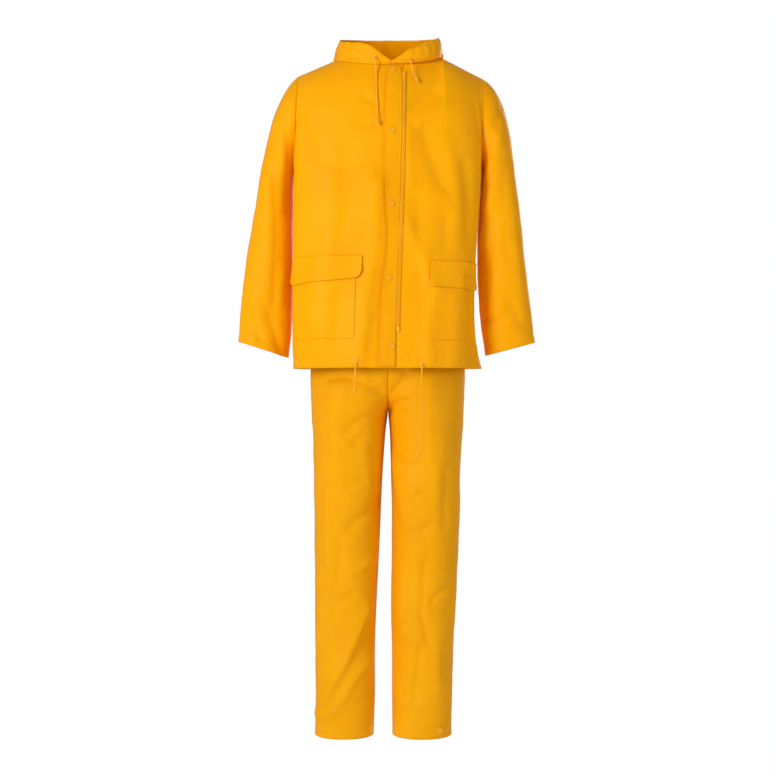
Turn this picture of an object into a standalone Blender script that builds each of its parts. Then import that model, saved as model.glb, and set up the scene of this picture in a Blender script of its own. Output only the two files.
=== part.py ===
"""A two-piece rain suit, worn and hollow: a hooded zip jacket over plain trousers.

The wearer's right is at -X, the front faces -Y, and the origin is level with the neck points.
Every cloth piece is one sheet of points worked out from its sections, closed into a thin wall.
"""
import math
from collections import namedtuple

import bmesh
import bpy
from mathutils import Vector
from mathutils.bvhtree import BVHTree

# Cloth
WALL = 0.0012
SEAM_GAP = 0.0003
LAY = 0.0012          # clear space between a panel and what lies on it
SAME_POINT = 0.00005  # points of two pieces this near each other lie on one seam

# Jacket
HEM_Z = -0.708
ARMPIT_Z = -0.250
SIDE_SEAM = math.radians(105)
NECK_COLUMN_ANGLE = math.radians(36)
ROUND_FRONT = 2.5
ROUND_BACK = 2.1
NECK_WIDTH = 0.122
NECK_Y = -0.005
NECK_FRONT = 0.082
NECK_BACK = 0.080
NECK_FRONT_Z = -0.025
NECK_SIDE_Z = 0.003
NECK_TILT = 0.0035
NECK_BACK_Z = 0.012
SHOULDER_RIGHT = Vector((-0.2047, 0.003, -0.0345))
SHOULDER_LEFT = Vector((0.2180, 0.003, -0.0410))
HOOD_CLOSE_ANGLE = math.radians(3.3)
ARMHOLE_LEAVE = (0.010, 0.235, 0.100)    # how the armhole leaves the armpit: out, forward and up
ARMHOLE_ARRIVE = (-0.010, -0.235, 0.130)
NECK_ARRIVE = (0.42, 0.85)               # how cloth reaches a seam: level and upward shares
SHOULDER_ARRIVE = (1.15, 0.22)
SEAM_PULL = 0.95
HOLD_START = 0.25                        # share across the shoulder where the armhole takes over
CAP_OUT = 0.60                           # how far a sleeve leaves its armhole sideways
CAP_TOP_OUT = {-1: 0.66, 1: 0.80}
CAP_FORWARD = 0.20
CAP_DOWN = (0.90, 0.45)
CAP_ARRIVE_OUT = 0.14

# Trousers
WAIST_Z = -0.505
BAND_HEIGHT = 0.034
CROTCH_Z = -0.805
CROTCH_TOP_Z = -0.700
LEG_HEM_Z = -1.545
ROUND_LEG = 2.2

# Steps of the sheets: columns go round, rows go down
FRONT_NECK_COLUMNS = 5
SHOULDER_COLUMNS = 6
BACK_NECK_COLUMNS = 10
LOWER_ROWS = 10
UPPER_ROWS = 8
SLEEVE_ROWS = 8
CAP_ROWS = 5
HOOD_ROWS = 10
LEG_COLUMNS = 20
HIP_ROWS = 9
LEG_ROWS = 16
BAND_COLUMNS = 72
BAND_GATHERS = 18
BAND_WAVE = 0.0016

# Small parts
SNAP_RADIUS = 0.0066
SNAP_HEIGHT = 0.0026
EYELET_RADIUS = 0.0058
EYELET_HOLE = 0.0019
EYELET_HEIGHT = 0.0014
CORD_DIAMETER = 0.0030
KNOT_RADIUS = 0.0042
KNOT_SHAPE = (0.9, 0.9, 1.35)
ZIP_WIDTH = 0.0050
ZIP_BOX = (0.0070, 0.0028, 0.0100)
ZIP_BOX_EDGE = 0.0006
ZIP_BOX_SHIFT = Vector((0.0012, -0.0008, 0.0))
ZIP_ROWS = 16
ROUND_STEPS = 12
SEAT_REACH = 0.020
SEAT_GAP = 0.0005
LEG_SNAP_RISE = 0.018
LEG_SNAPS = ((-1, 0.085, "right"), (1, 0.345, "left"))

Body = namedtuple("Body", "z right left front back widest")
BODY = (
    Body(-0.250, 0.2135, 0.2125, -0.128, 0.124, -0.045),
    Body(-0.350, 0.2145, 0.2065, -0.138, 0.130, -0.050),
    Body(-0.450, 0.2155, 0.1995, -0.143, 0.133, -0.050),
    Body(-0.550, 0.2165, 0.1950, -0.146, 0.137, -0.048),
    Body(-0.640, 0.2175, 0.1990, -0.149, 0.142, -0.036),
    Body(-0.708, 0.2160, 0.2140, -0.150, 0.147, -0.012),
)

# Outer is the side away from the body; drop is how much lower the inner edge hangs
Sleeve = namedtuple("Sleeve", "z outer inner front back drop")
SLEEVE_RIGHT = (
    Sleeve(-0.300, 0.2995, 0.2170, -0.055, 0.076, 0.000),
    Sleeve(-0.350, 0.3080, 0.2165, -0.057, 0.077, 0.000),
    Sleeve(-0.435, 0.3220, 0.2170, -0.056, 0.075, 0.000),
    Sleeve(-0.520, 0.3335, 0.2190, -0.052, 0.070, 0.012),
    Sleeve(-0.600, 0.3410, 0.2215, -0.047, 0.063, 0.027),
    Sleeve(-0.664, 0.3450, 0.2290, -0.044, 0.058, 0.037),
)
SLEEVE_LEFT = (
    Sleeve(-0.300, 0.2975, 0.2130, -0.055, 0.076, 0.000),
    Sleeve(-0.350, 0.3040, 0.2090, -0.057, 0.077, 0.000),
    Sleeve(-0.435, 0.3130, 0.2060, -0.056, 0.075, 0.000),
    Sleeve(-0.520, 0.3225, 0.2085, -0.052, 0.070, 0.010),
    Sleeve(-0.600, 0.3320, 0.2150, -0.047, 0.063, 0.022),
    Sleeve(-0.663, 0.3380, 0.2250, -0.044, 0.058, 0.030),
)

# Hood profile at angles round the neck: out and up of four points from the neck seam to the rim
Hood = namedtuple("Hood", "angle out1 up1 out2 up2 out3 up3 out4 up4")
HOOD = (
    Hood(-180, 0.036, -0.046, 0.070, -0.108, 0.096, -0.036, 0.050, 0.063),
    Hood(-160, 0.033, -0.037, 0.066, -0.094, 0.091, -0.028, 0.046, 0.061),
    Hood(-137, 0.020, -0.008, 0.044, -0.040, 0.056, 0.000, 0.024, 0.055),
    Hood(-110, 0.002, 0.008, 0.006, 0.015, 0.005, 0.028, -0.005, 0.048),
    Hood(-90, -0.004, 0.012, -0.006, 0.024, -0.007, 0.035, -0.011, 0.044),
    Hood(-45, 0.002, 0.011, 0.003, 0.024, 0.001, 0.036, -0.004, 0.046),
    Hood(-20, 0.003, 0.011, 0.004, 0.022, 0.004, 0.033, 0.001, 0.042),
    Hood(0, 0.003, 0.004, 0.004, 0.007, 0.004, 0.010, 0.002, 0.013),
    Hood(4, 0.003, 0.003, 0.004, 0.006, 0.004, 0.008, 0.002, 0.010),
    Hood(20, 0.008, 0.002, 0.011, 0.010, 0.009, 0.019, 0.003, 0.027),
    Hood(45, 0.010, 0.002, 0.014, 0.013, 0.011, 0.029, 0.001, 0.044),
    Hood(90, 0.001, 0.010, 0.001, 0.022, -0.001, 0.035, -0.007, 0.046),
    Hood(110, 0.006, 0.005, 0.014, 0.010, 0.009, 0.026, -0.002, 0.048),
    Hood(137, 0.023, -0.008, 0.050, -0.040, 0.058, 0.000, 0.024, 0.055),
    Hood(160, 0.033, -0.037, 0.066, -0.094, 0.091, -0.028, 0.046, 0.061),
    Hood(180, 0.036, -0.046, 0.070, -0.108, 0.096, -0.036, 0.050, 0.063),
)

# Inner is nothing above the crotch, where the two legs meet at the centre seam
Leg = namedtuple("Leg", "z outer inner front back")
LEG_RIGHT = (
    Leg(-0.470, 0.1500, 0.0000, -0.106, 0.102),
    Leg(-0.505, 0.1520, 0.0000, -0.108, 0.105),
    Leg(-0.560, 0.1620, 0.0000, -0.114, 0.110),
    Leg(-0.640, 0.1730, 0.0000, -0.119, 0.116),
    Leg(-0.720, 0.1785, 0.0000, -0.121, 0.120),
    Leg(-0.805, 0.1755, 0.0003, -0.117, 0.118),
    Leg(-0.850, 0.1735, 0.0055, -0.112, 0.112),
    Leg(-0.950, 0.1700, 0.0125, -0.102, 0.100),
    Leg(-1.050, 0.1685, 0.0170, -0.093, 0.089),
    Leg(-1.150, 0.1680, 0.0215, -0.086, 0.082),
    Leg(-1.250, 0.1680, 0.0265, -0.081, 0.079),
    Leg(-1.350, 0.1665, 0.0300, -0.078, 0.077),
    Leg(-1.450, 0.1665, 0.0300, -0.074, 0.076),
    Leg(-1.545, 0.1675, 0.0330, -0.071, 0.074),
)
LEG_LEFT = (
    Leg(-0.470, 0.1480, 0.0000, -0.106, 0.102),
    Leg(-0.505, 0.1500, 0.0000, -0.108, 0.105),
    Leg(-0.560, 0.1600, 0.0000, -0.114, 0.110),
    Leg(-0.640, 0.1710, 0.0000, -0.119, 0.116),
    Leg(-0.720, 0.1765, 0.0000, -0.121, 0.120),
    Leg(-0.805, 0.1740, 0.0003, -0.117, 0.118),
    Leg(-0.850, 0.1710, 0.0040, -0.112, 0.112),
    Leg(-0.950, 0.1665, 0.0070, -0.102, 0.100),
    Leg(-1.050, 0.1645, 0.0092, -0.093, 0.089),
    Leg(-1.150, 0.1600, 0.0085, -0.086, 0.082),
    Leg(-1.250, 0.1555, 0.0070, -0.081, 0.079),
    Leg(-1.350, 0.1505, 0.0090, -0.078, 0.077),
    Leg(-1.450, 0.1475, 0.0092, -0.074, 0.076),
    Leg(-1.545, 0.1455, 0.0100, -0.071, 0.074),
)

# The largest folds, as straight ridges (height over 0) or troughs seen from the front or back
Fold = namedtuple("Fold", "x0 z0 x1 z1 width height")
JACKET_FOLDS_FRONT = (
    Fold(-0.025, -0.310, -0.026, -0.430, 0.024, 0.005),
    Fold(-0.026, -0.430, -0.072, -0.690, 0.026, 0.008),
    Fold(-0.120, -0.290, -0.150, -0.640, 0.034, 0.006),
    Fold(0.045, -0.400, 0.100, -0.560, 0.022, 0.006),
    Fold(0.100, -0.560, 0.088, -0.690, 0.024, 0.007),
    Fold(0.092, -0.180, 0.124, -0.290, 0.026, -0.006),
    Fold(0.184, -0.520, 0.186, -0.708, 0.014, -0.012),
)
JACKET_FOLDS_BACK = (
    Fold(-0.110, -0.240, -0.090, -0.690, 0.034, 0.007),
    Fold(0.020, -0.300, 0.010, -0.690, 0.036, -0.006),
    Fold(0.115, -0.220, 0.100, -0.690, 0.034, 0.007),
)
SLEEVE_FOLDS_RIGHT = (
    Fold(-0.262, -0.200, -0.252, -0.380, 0.016, -0.008),
    Fold(-0.252, -0.380, -0.258, -0.600, 0.015, -0.008),
    Fold(-0.285, -0.560, -0.305, -0.640, 0.018, -0.006),
)
SLEEVE_FOLDS_LEFT = (
    Fold(0.262, -0.190, 0.232, -0.340, 0.016, 0.008),
    Fold(0.244, -0.370, 0.234, -0.580, 0.015, -0.008),
    Fold(0.270, -0.590, 0.310, -0.606, 0.016, -0.006),
)
LEG_FOLDS_RIGHT = (
    Fold(-0.130, -0.712, -0.060, -0.730, 0.020, -0.008),
    Fold(-0.096, -0.836, -0.020, -0.815, 0.018, -0.008),
    Fold(-0.092, -0.970, -0.055, -0.962, 0.018, -0.007),
    Fold(-0.036, -1.010, -0.090, -1.080, 0.020, -0.008),
    Fold(-0.030, -1.140, -0.085, -1.180, 0.018, 0.008),
    Fold(-0.030, -1.215, -0.096, -1.375, 0.018, 0.011),
    Fold(-0.096, -1.375, -0.148, -1.490, 0.017, 0.011),
    Fold(-0.052, -1.400, -0.110, -1.490, 0.020, 0.008),
)
LEG_FOLDS_LEFT = (
    Fold(0.010, -0.790, 0.044, -0.705, 0.018, -0.009),
    Fold(0.020, -0.905, 0.060, -0.926, 0.017, -0.007),
    Fold(0.024, -0.966, 0.062, -0.990, 0.017, 0.008),
    Fold(0.048, -1.080, 0.092, -1.066, 0.018, -0.008),
    Fold(0.080, -1.150, 0.076, -1.270, 0.018, -0.007),
    Fold(0.100, -1.230, 0.138, -1.200, 0.016, -0.006),
    Fold(0.078, -1.340, 0.058, -1.460, 0.018, -0.008),
    Fold(0.030, -1.465, 0.124, -1.470, 0.016, 0.007),
)

# Closure lines down the front: where the zip runs and where the storm flap's free edge lies
Closure = namedtuple("Closure", "z zip free lift")
CLOSURE = (
    Closure(-0.020, 0.0360, -0.0020, 0.0030),
    Closure(-0.180, 0.0345, -0.0050, 0.0038),
    Closure(-0.330, 0.0300, -0.0060, 0.0060),
    Closure(-0.425, 0.0265, -0.0010, 0.0030),
    Closure(-0.520, 0.0235, -0.0110, 0.0070),
    Closure(-0.616, 0.0205, -0.0160, 0.0045),
    Closure(-0.708, 0.0187, -0.0180, 0.0060),
)
FLAP_TOP = 0.985      # shares of the front's height
FLAP_BOTTOM = 0.004
FLAP_ROOT_GAP = 0.0035
ZIP_TOP = 0.955
ZIP_BOTTOM = 0.112
SNAPS = ((0.0100, 0.021), (0.0084, 0.306), (0.0069, 0.556), (0.0009, 0.758), (0.0100, 0.944))

# Pockets: inner and outer are shares across the front, from the zip to the side seam
Pocket = namedtuple("Pocket", "name side inner outer top inner_bottom outer_bottom over")
POCKETS = (
    Pocket("pocket_patch_right", -1, 0.270, 0.755, -0.474, -0.643, -0.643, 0.0),
    Pocket("pocket_flap_right", -1, 0.230, 0.771, -0.460, -0.508, -0.523, 1.0),
    Pocket("pocket_patch_left", 1, 0.325, 0.786, -0.486, -0.645, -0.645, 0.0),
    Pocket("pocket_flap_left", 1, 0.310, 0.818, -0.471, -0.527, -0.533, 1.0),
)
FLAP_LIFT = 0.0035
FLAP_LAY = 0.0004        # clear space between a pocket and its flap

# Eyelets: on the hem tunnel by x and z, on the hood by shares round and up
HEM_EYELETS = ((-1, -0.0705, -0.6930, "right"), (1, 0.0760, -0.7000, "left"))
HOOD_EYELETS = ((0.036, 0.40, "right"), (0.932, 0.40, "left"))

# Cord routes from a little outside the eyelet to the free end, in x, y and z
CORD_OUT = (0.0020, 0.0046)   # how far a cord comes out of its eyelet before its route begins
CORD_DIP = 0.0008
HOOD_CORD_RIGHT = (
    (-0.0284, -0.0990, -0.0160),
    (-0.0262, -0.1035, -0.0500),
    (-0.0250, -0.1165, -0.0950),
    (-0.0236, -0.1246, -0.1300),
    (-0.0226, -0.1300, -0.1560),
)
HOOD_CORD_LEFT = (
    (0.0516, -0.1003, -0.0220),
    (0.0545, -0.0988, -0.0400),
    (0.0620, -0.1005, -0.0570),
)
HEM_CORD_RIGHT = (
    (-0.0712, -0.1604, -0.6990),
    (-0.0722, -0.1590, -0.7150),
    (-0.0728, -0.1570, -0.7340),
    (-0.0730, -0.1560, -0.7500),
)
HEM_CORD_LEFT = (
    (0.0755, -0.1574, -0.7060),
    (0.0738, -0.1567, -0.7250),
    (0.0718, -0.1560, -0.7800),
    (0.0705, -0.1558, -0.8400),
    (0.0696, -0.1555, -0.8960),
)

CLOTH = ("coated rain cloth", "#f2a504", 0.42, 0.0)
INSIDE = ("hood cloth", "#e9990a", 0.46, 0.0)
TROUSER = ("coated trouser cloth", "#eea206", 0.44, 0.0)
SNAP = ("snap plastic", "#f0a61c", 0.35, 0.0)
ZIP = ("zip plastic", "#f7b63a", 0.40, 0.0)
CORD = ("cord", "#ffc83c", 0.60, 0.0)


def clear_scene():
    for item in list(bpy.data.objects):
        bpy.data.objects.remove(item, do_unlink=True)


def linear(channel):
    if channel <= 0.04045:
        return channel / 12.92
    return ((channel + 0.055) / 1.055) ** 2.4


def make_material(recipe):
    name, colour, roughness, metallic = recipe
    material = bpy.data.materials.get(name)
    if material:
        return material
    material = bpy.data.materials.new(name)
    material.use_nodes = True
    shader = material.node_tree.nodes["Principled BSDF"]
    channels = [linear(int(colour[at:at + 2], 16) / 255) for at in (1, 3, 5)]
    shader.inputs["Base Color"].default_value = (*channels, 1.0)
    shader.inputs["Roughness"].default_value = roughness
    shader.inputs["Metallic"].default_value = metallic
    return material


def mix(start, end, share):
    return start + (end - start) * share


def look_up(table, key):
    """The table's row at this key, on a smooth curve through its rows."""
    keys = [row[0] for row in table]
    rising = keys[-1] > keys[0]
    low = 0
    while low < len(keys) - 2 and (key > keys[low + 1]) == rising and key != keys[low + 1]:
        low += 1
    span = keys[low + 1] - keys[low]
    share = min(1.0, max(0.0, (key - keys[low]) / span))
    values = [key]
    for column in range(1, len(table[0])):
        value = [row[column] for row in table]
        before = max(low - 1, 0)
        after = min(low + 2, len(keys) - 1)
        slope_in = (value[low + 1] - value[before]) / (keys[low + 1] - keys[before]) * span
        slope_out = (value[after] - value[low]) / (keys[after] - keys[low]) * span
        values.append(hermite(value[low], value[low + 1], slope_in, slope_out, share))
    return type(table[0])(*values)


def hermite(start, end, leave, arrive, share):
    """A smooth step from start to end that leaves and arrives with these slopes."""
    square = share * share
    cube = square * share
    return (start * (2 * cube - 3 * square + 1) + leave * (cube - 2 * square + share)
            + end * (3 * square - 2 * cube) + arrive * (cube - square))


def rounded(angle, power):
    """Sine and cosine of an angle on a rounded rectangle instead of a circle."""
    sine = math.sin(angle)
    cosine = math.cos(angle)
    size = (abs(sine) ** power + abs(cosine) ** power) ** (1 / power)
    return sine / size, cosine / size


def fold_height(folds, x, z):
    """The height of all the folds here: each is a soft ridge or trough along its line."""
    total = 0.0
    for fold in folds:
        run_x = fold.x1 - fold.x0
        run_z = fold.z1 - fold.z0
        along = ((x - fold.x0) * run_x + (z - fold.z0) * run_z) / (run_x ** 2 + run_z ** 2)
        along = min(1.0, max(0.0, along))
        off = math.hypot(x - fold.x0 - along * run_x, z - fold.z0 - along * run_z)
        total += fold.height * math.exp(-(off / fold.width) ** 2)
    return total


def body_point(z, angle):
    """A point round the jacket below the armpits; angle 0 is the front, positive to the left."""
    row = look_up(BODY, z)
    half = row.left if angle > 0 else row.right
    power = ROUND_FRONT if abs(angle) < math.pi / 2 else ROUND_BACK
    sine, cosine = rounded(angle, power)
    depth = row.widest - row.front if cosine > 0 else row.back - row.widest
    x = half * sine
    folds = JACKET_FOLDS_FRONT if cosine > 0 else JACKET_FOLDS_BACK
    lift = fold_height(folds, x, z) * cosine
    return Vector((x, row.widest - depth * cosine - lift, z))


def angle_at(z, x):
    """The angle on the jacket's front where it has this x."""
    row = look_up(BODY, z)
    ratio = x / (row.left if x > 0 else row.right)
    rest = (1 - abs(ratio) ** ROUND_FRONT) ** (1 / ROUND_FRONT)
    return math.atan2(ratio, rest)


def neck_point(angle):
    """A point on the neck seam; angle 0 is the front and positive is to the wearer's left."""
    sine = math.sin(angle)
    cosine = math.cos(angle)
    side_z = NECK_SIDE_Z + NECK_TILT * sine
    if cosine > 0:
        z = mix(side_z, NECK_FRONT_Z, cosine ** 1.3)
        return Vector((NECK_WIDTH * sine, NECK_Y - NECK_FRONT * cosine, z))
    return Vector((NECK_WIDTH * sine, NECK_Y - NECK_BACK * cosine, mix(side_z, NECK_BACK_Z, -cosine)))


def shoulder_point(side):
    return SHOULDER_LEFT if side > 0 else SHOULDER_RIGHT


def armhole_point(side, way, share):
    """The armhole from the armpit (0) to the shoulder (1); way is -1 in front and 1 behind."""
    start = body_point(ARMPIT_Z, side * SIDE_SEAM)
    end = shoulder_point(side)
    turned_ways = []
    for out, forward, rise in (ARMHOLE_LEAVE, ARMHOLE_ARRIVE):
        turned_ways.append(Vector((side * out, way * forward, rise)))
    return hermite(start, end, *turned_ways, share)


def upper_point(base, top, side, way, flat, outness, share):
    """A point above the armpits, on a curve from the ring there to the neck or shoulder seam.

    Flat is how level the cloth lies at the seam, and outness how far out on the shoulder it is.
    """
    reach = (top - base).length
    leave = Vector((0.0, 0.0, reach))
    level = mix(NECK_ARRIVE[0], SHOULDER_ARRIVE[0], flat)
    upward = mix(NECK_ARRIVE[1], SHOULDER_ARRIVE[1], flat)
    arrive = Vector((0.0, -way * level, upward)) * reach * SEAM_PULL
    point = hermite(base, top, leave, arrive, share)
    edge = armhole_point(side, way, share)
    start = body_point(ARMPIT_Z, side * SIDE_SEAM)
    at_shoulder = Vector((0.0, -way * SHOULDER_ARRIVE[0], SHOULDER_ARRIVE[1])) * reach * SEAM_PULL
    plain = hermite(start, shoulder_point(side), leave, at_shoulder, share)
    hold = max(0.0, (outness - HOLD_START) / (1 - HOLD_START)) ** 2
    point += (edge - plain) * hold
    folds = JACKET_FOLDS_FRONT if way < 0 else JACKET_FOLDS_BACK
    point.y += way * fold_height(folds, point.x, point.z) * (1 - hold) * (1 - share)
    return point


def front_point(side, across, up):
    """A point of a front: across runs from the zip to the side, up from the hem to the top."""
    neck_share = FRONT_NECK_COLUMNS / (FRONT_NECK_COLUMNS + SHOULDER_COLUMNS)
    lower_share = LOWER_ROWS / (LOWER_ROWS + UPPER_ROWS)
    z = mix(HEM_Z, ARMPIT_Z, min(1.0, up / lower_share))
    zip_angle = angle_at(z, look_up(CLOSURE, z).zip)
    knee = side * NECK_COLUMN_ANGLE
    if across < neck_share:
        angle = mix(zip_angle, knee, across / neck_share)
    else:
        angle = mix(knee, side * SIDE_SEAM, (across - neck_share) / (1 - neck_share))
    base = body_point(z, angle)
    if up <= lower_share:
        return base
    share = (up - lower_share) / (1 - lower_share)
    start_angle = math.asin(CLOSURE[0].zip / NECK_WIDTH)
    if across < neck_share:
        if side > 0:
            top = neck_point(mix(start_angle, math.pi / 2, across / neck_share))
        else:
            steps = FRONT_NECK_COLUMNS
            first = 1 / steps
            part = across / neck_share
            if part < first:
                top = neck_point(mix(start_angle, HOOD_CLOSE_ANGLE, part * steps))
            else:
                top = neck_point(mix(HOOD_CLOSE_ANGLE, -math.pi / 2, (part - first) / (1 - first)))
    else:
        outward = (across - neck_share) / (1 - neck_share)
        top = neck_point(side * math.pi / 2).lerp(shoulder_point(side), outward)
    outness = max(0.0, (across - neck_share) / (1 - neck_share))
    return upper_point(base, top, side, -1, min(1.0, across / neck_share) ** 2, outness, share)


def back_point(across, up):
    """A point of the back: across runs from the right side seam to the left one."""
    columns = BACK_NECK_COLUMNS + 2 * SHOULDER_COLUMNS
    edge_share = SHOULDER_COLUMNS / columns
    lower_share = LOWER_ROWS / (LOWER_ROWS + UPPER_ROWS)
    z = mix(HEM_Z, ARMPIT_Z, min(1.0, up / lower_share))
    side = 1 if across > 0.5 else -1
    inward = min(across, 1 - across)
    knee = math.pi - NECK_COLUMN_ANGLE
    if inward < edge_share:
        outness = 1 - inward / edge_share
        flat = 1.0
        angle = mix(knee, SIDE_SEAM, outness)
        top = neck_point(side * math.pi / 2).lerp(shoulder_point(side), outness)
    else:
        outness = 0.0
        part = (inward - edge_share) / (0.5 - edge_share)
        flat = (1 - part) ** 2
        angle = mix(knee, math.pi, part)
        top = neck_point(side * mix(math.pi / 2, math.pi, part))
    base = body_point(z, side * angle)
    if up <= lower_share:
        return base
    share = (up - lower_share) / (1 - lower_share)
    return upper_point(base, top, side, 1, flat, outness, share)


def sleeve_ring(table, folds, side, z, turn):
    """A point round a sleeve: turn 0 is next to the body, a quarter on is the front."""
    row = look_up(table, z)
    sine, cosine = rounded(turn, ROUND_LEG)
    middle = (row.outer + row.inner) / 2
    half = (row.outer - row.inner) / 2
    x = side * (middle - half * cosine)
    centre_y = (row.front + row.back) / 2
    depth = (row.back - row.front) / 2
    lift = fold_height(folds, x, z) * max(0.0, sine)
    y = centre_y - (depth + lift) * sine
    return Vector((x, y, z - row.drop * cosine / 2))


def sleeve_point(side, round_share, down):
    """A point of a sleeve: round_share goes from the underarm by the front and back, down to the cuff."""
    table = SLEEVE_LEFT if side > 0 else SLEEVE_RIGHT
    folds = SLEEVE_FOLDS_LEFT if side > 0 else SLEEVE_FOLDS_RIGHT
    turn = round_share * 2 * math.pi
    cap_share = CAP_ROWS / (CAP_ROWS + SLEEVE_ROWS)
    if down > cap_share:
        share = (down - cap_share) / (1 - cap_share)
        return sleeve_ring(table, folds, side, mix(table[0].z, table[-1].z, share), turn)
    share = down / cap_share
    if round_share < 0.5:
        top = armhole_point(side, -1, round_share * 2)
    else:
        top = armhole_point(side, 1, 2 - round_share * 2)
    base = sleeve_ring(table, folds, side, table[0].z, turn)
    reach = (base - top).length
    height = (1 - math.cos(turn)) / 2
    out = mix(CAP_OUT, CAP_TOP_OUT[side], height ** 0.6)
    way = Vector((side * out, -math.sin(turn) * CAP_FORWARD, -mix(*CAP_DOWN, height)))
    leave = way * reach * SEAM_PULL
    arrive = Vector((side * CAP_ARRIVE_OUT, 0.0, -SEAM_PULL)) * reach
    return hermite(top, base, leave, arrive, share)


def hood_angle(share):
    """The neck angle of a hood column: its ends meet just right of the zip."""
    right = FRONT_NECK_COLUMNS - 1
    back = BACK_NECK_COLUMNS
    left = FRONT_NECK_COLUMNS
    step = share * (right + back + left + 1)
    start_angle = math.asin(CLOSURE[0].zip / NECK_WIDTH)
    if step <= right:
        return mix(HOOD_CLOSE_ANGLE, -math.pi / 2, step / right)
    if step <= right + back:
        return mix(-math.pi / 2, -3 * math.pi / 2, (step - right) / back)
    if step <= right + back + left:
        return mix(-3 * math.pi / 2, start_angle - 2 * math.pi, (step - right - back) / left)
    last = step - right - back - left
    return mix(start_angle, HOOD_CLOSE_ANGLE, last) - 2 * math.pi


def hood_point(share, up):
    """A point of the hood: share goes round the neck, up from the neck seam to the rim."""
    angle = hood_angle(share)
    start = neck_point(angle)
    degrees = (math.degrees(angle) + 180) % 360 - 180
    row = look_up(HOOD, degrees)
    outs = (0.0, row.out1, row.out2, row.out3, row.out4)
    ups = (0.0, row.up1, row.up2, row.up3, row.up4)
    step = min(3, int(up * 4))
    part = up * 4 - step
    before = max(step - 1, 0)
    after = min(step + 2, 4)
    out = hermite(outs[step], outs[step + 1], (outs[step + 1] - outs[before]) / 2,
                  (outs[after] - outs[step]) / 2, part)
    rise = hermite(ups[step], ups[step + 1], (ups[step + 1] - ups[before]) / 2,
                   (ups[after] - ups[step]) / 2, part)
    outward = Vector((math.sin(angle), -math.cos(angle), 0.0))
    return start + outward * out + Vector((0.0, 0.0, rise))


def leg_section(side, z, round_share):
    """A point round a leg, or round half the hips: from the front seam or inseam, by the outside.

    From the crotch curve's top down, the section's middle moves out from the centre seam, so its
    open ends run down and in along the curve and meet at the crotch.
    """
    row = look_up(LEG_LEFT if side > 0 else LEG_RIGHT, z)
    fall = min(1.0, max(0.0, (CROTCH_TOP_Z - z) / (CROTCH_TOP_Z - CROTCH_Z)))
    open_half = (1 - fall ** 2) ** (ROUND_LEG / 2)
    shut = (1 - open_half) ** (1 / ROUND_LEG)
    if z > CROTCH_Z:
        half = row.outer / (1 + shut)
        middle = row.outer - half
    else:
        half = (row.outer - row.inner) / 2
        middle = row.outer - half
    end_turn = math.atan2(open_half ** (1 / ROUND_LEG), shut)
    sine, cosine = rounded(mix(end_turn, 2 * math.pi - end_turn, round_share), ROUND_LEG)
    x = side * (middle - half * cosine)
    folds = LEG_FOLDS_LEFT if side > 0 else LEG_FOLDS_RIGHT
    lift = fold_height(folds, x, z) * max(0.0, sine)
    y = (row.front - lift) * sine if sine > 0 else -row.back * sine
    return Vector((x, y, z))


def leg_point(side, round_share, down):
    """A point of a leg, cut in one piece from the waist to the hem."""
    hip_share = HIP_ROWS / (HIP_ROWS + LEG_ROWS)
    if down < hip_share:
        return leg_section(side, mix(WAIST_Z, CROTCH_Z, 1 - (1 - down / hip_share) ** 1.5), round_share)
    return leg_section(side, mix(CROTCH_Z, LEG_HEM_Z, (down - hip_share) / (1 - hip_share)), round_share)


def band_point(round_share, down):
    """A point of the elastic waistband, gathered in even small waves."""
    side = 1 if round_share < 0.5 else -1
    share = 2 * round_share if side > 0 else 2 - 2 * round_share
    point = leg_section(side, mix(WAIST_Z + BAND_HEIGHT, WAIST_Z, down), share)
    wave = BAND_WAVE * math.cos(round_share * 2 * math.pi * BAND_GATHERS) * (1 - down)
    return point + Vector((point.x, point.y, 0.0)).normalized() * wave


def on_facets(side, up, x):
    """The point at this x on a front's own facets, at a share of its height, to lay a piece on."""
    columns = FRONT_NECK_COLUMNS + SHOULDER_COLUMNS
    rows = LOWER_ROWS + UPPER_ROWS
    row = min(rows - 1, int(up * rows + 0.001))
    part = up * rows - row
    before = None
    for column in range(columns + 1):
        low = front_point(side, column / columns, row / rows)
        high = front_point(side, column / columns, (row + 1) / rows)
        here = low.lerp(high, part)
        if before and (x - before.x) * (x - here.x) <= 0:
            return before.lerp(here, (x - before.x) / (here.x - before.x))
        before = here
    return before


def up_share(z):
    """How far up a front a height below the armpits is."""
    return (z - HEM_Z) / (ARMPIT_Z - HEM_Z) * LOWER_ROWS / (LOWER_ROWS + UPPER_ROWS)


def facet_normal(side, up, x):
    """The outward direction of a front near this x and share of its height."""
    step = 0.012
    beside = on_facets(side, up, x + step) - on_facets(side, up, x - step)
    above = on_facets(side, min(1.0, up + step), x) - on_facets(side, max(0.0, up - step), x)
    normal = beside.cross(above).normalized()
    return -normal if normal.y > 0 else normal


def flap_point(across, down):
    """A point of the storm flap: across from its free edge to its root by the zip."""
    up = mix(FLAP_TOP, FLAP_BOTTOM, down)
    z = front_point(-1, 0.0, up).z
    row = look_up(CLOSURE, z)
    root = row.zip - FLAP_ROOT_GAP
    corner = max(0.0, 1 - down * (LOWER_ROWS + UPPER_ROWS) / 1.5)
    x = mix(row.free, root, mix(across, 0.5, corner * 0.3))
    normal = facet_normal(-1, up, x)
    lift = LAY + WALL + row.lift * (1 - across) ** 2 + 0.0012 * math.sin(across * math.pi)
    return on_facets(-1, up, x) + normal * lift


def lines_between(start, end, count):
    """Shares from start to end, with a sheet's own grid lines between them."""
    low, high = sorted((start, end))
    margin = 0.25 / count
    inner = [step / count for step in range(count + 1) if low + margin < step / count < high - margin]
    return [low, *inner, high]


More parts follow.
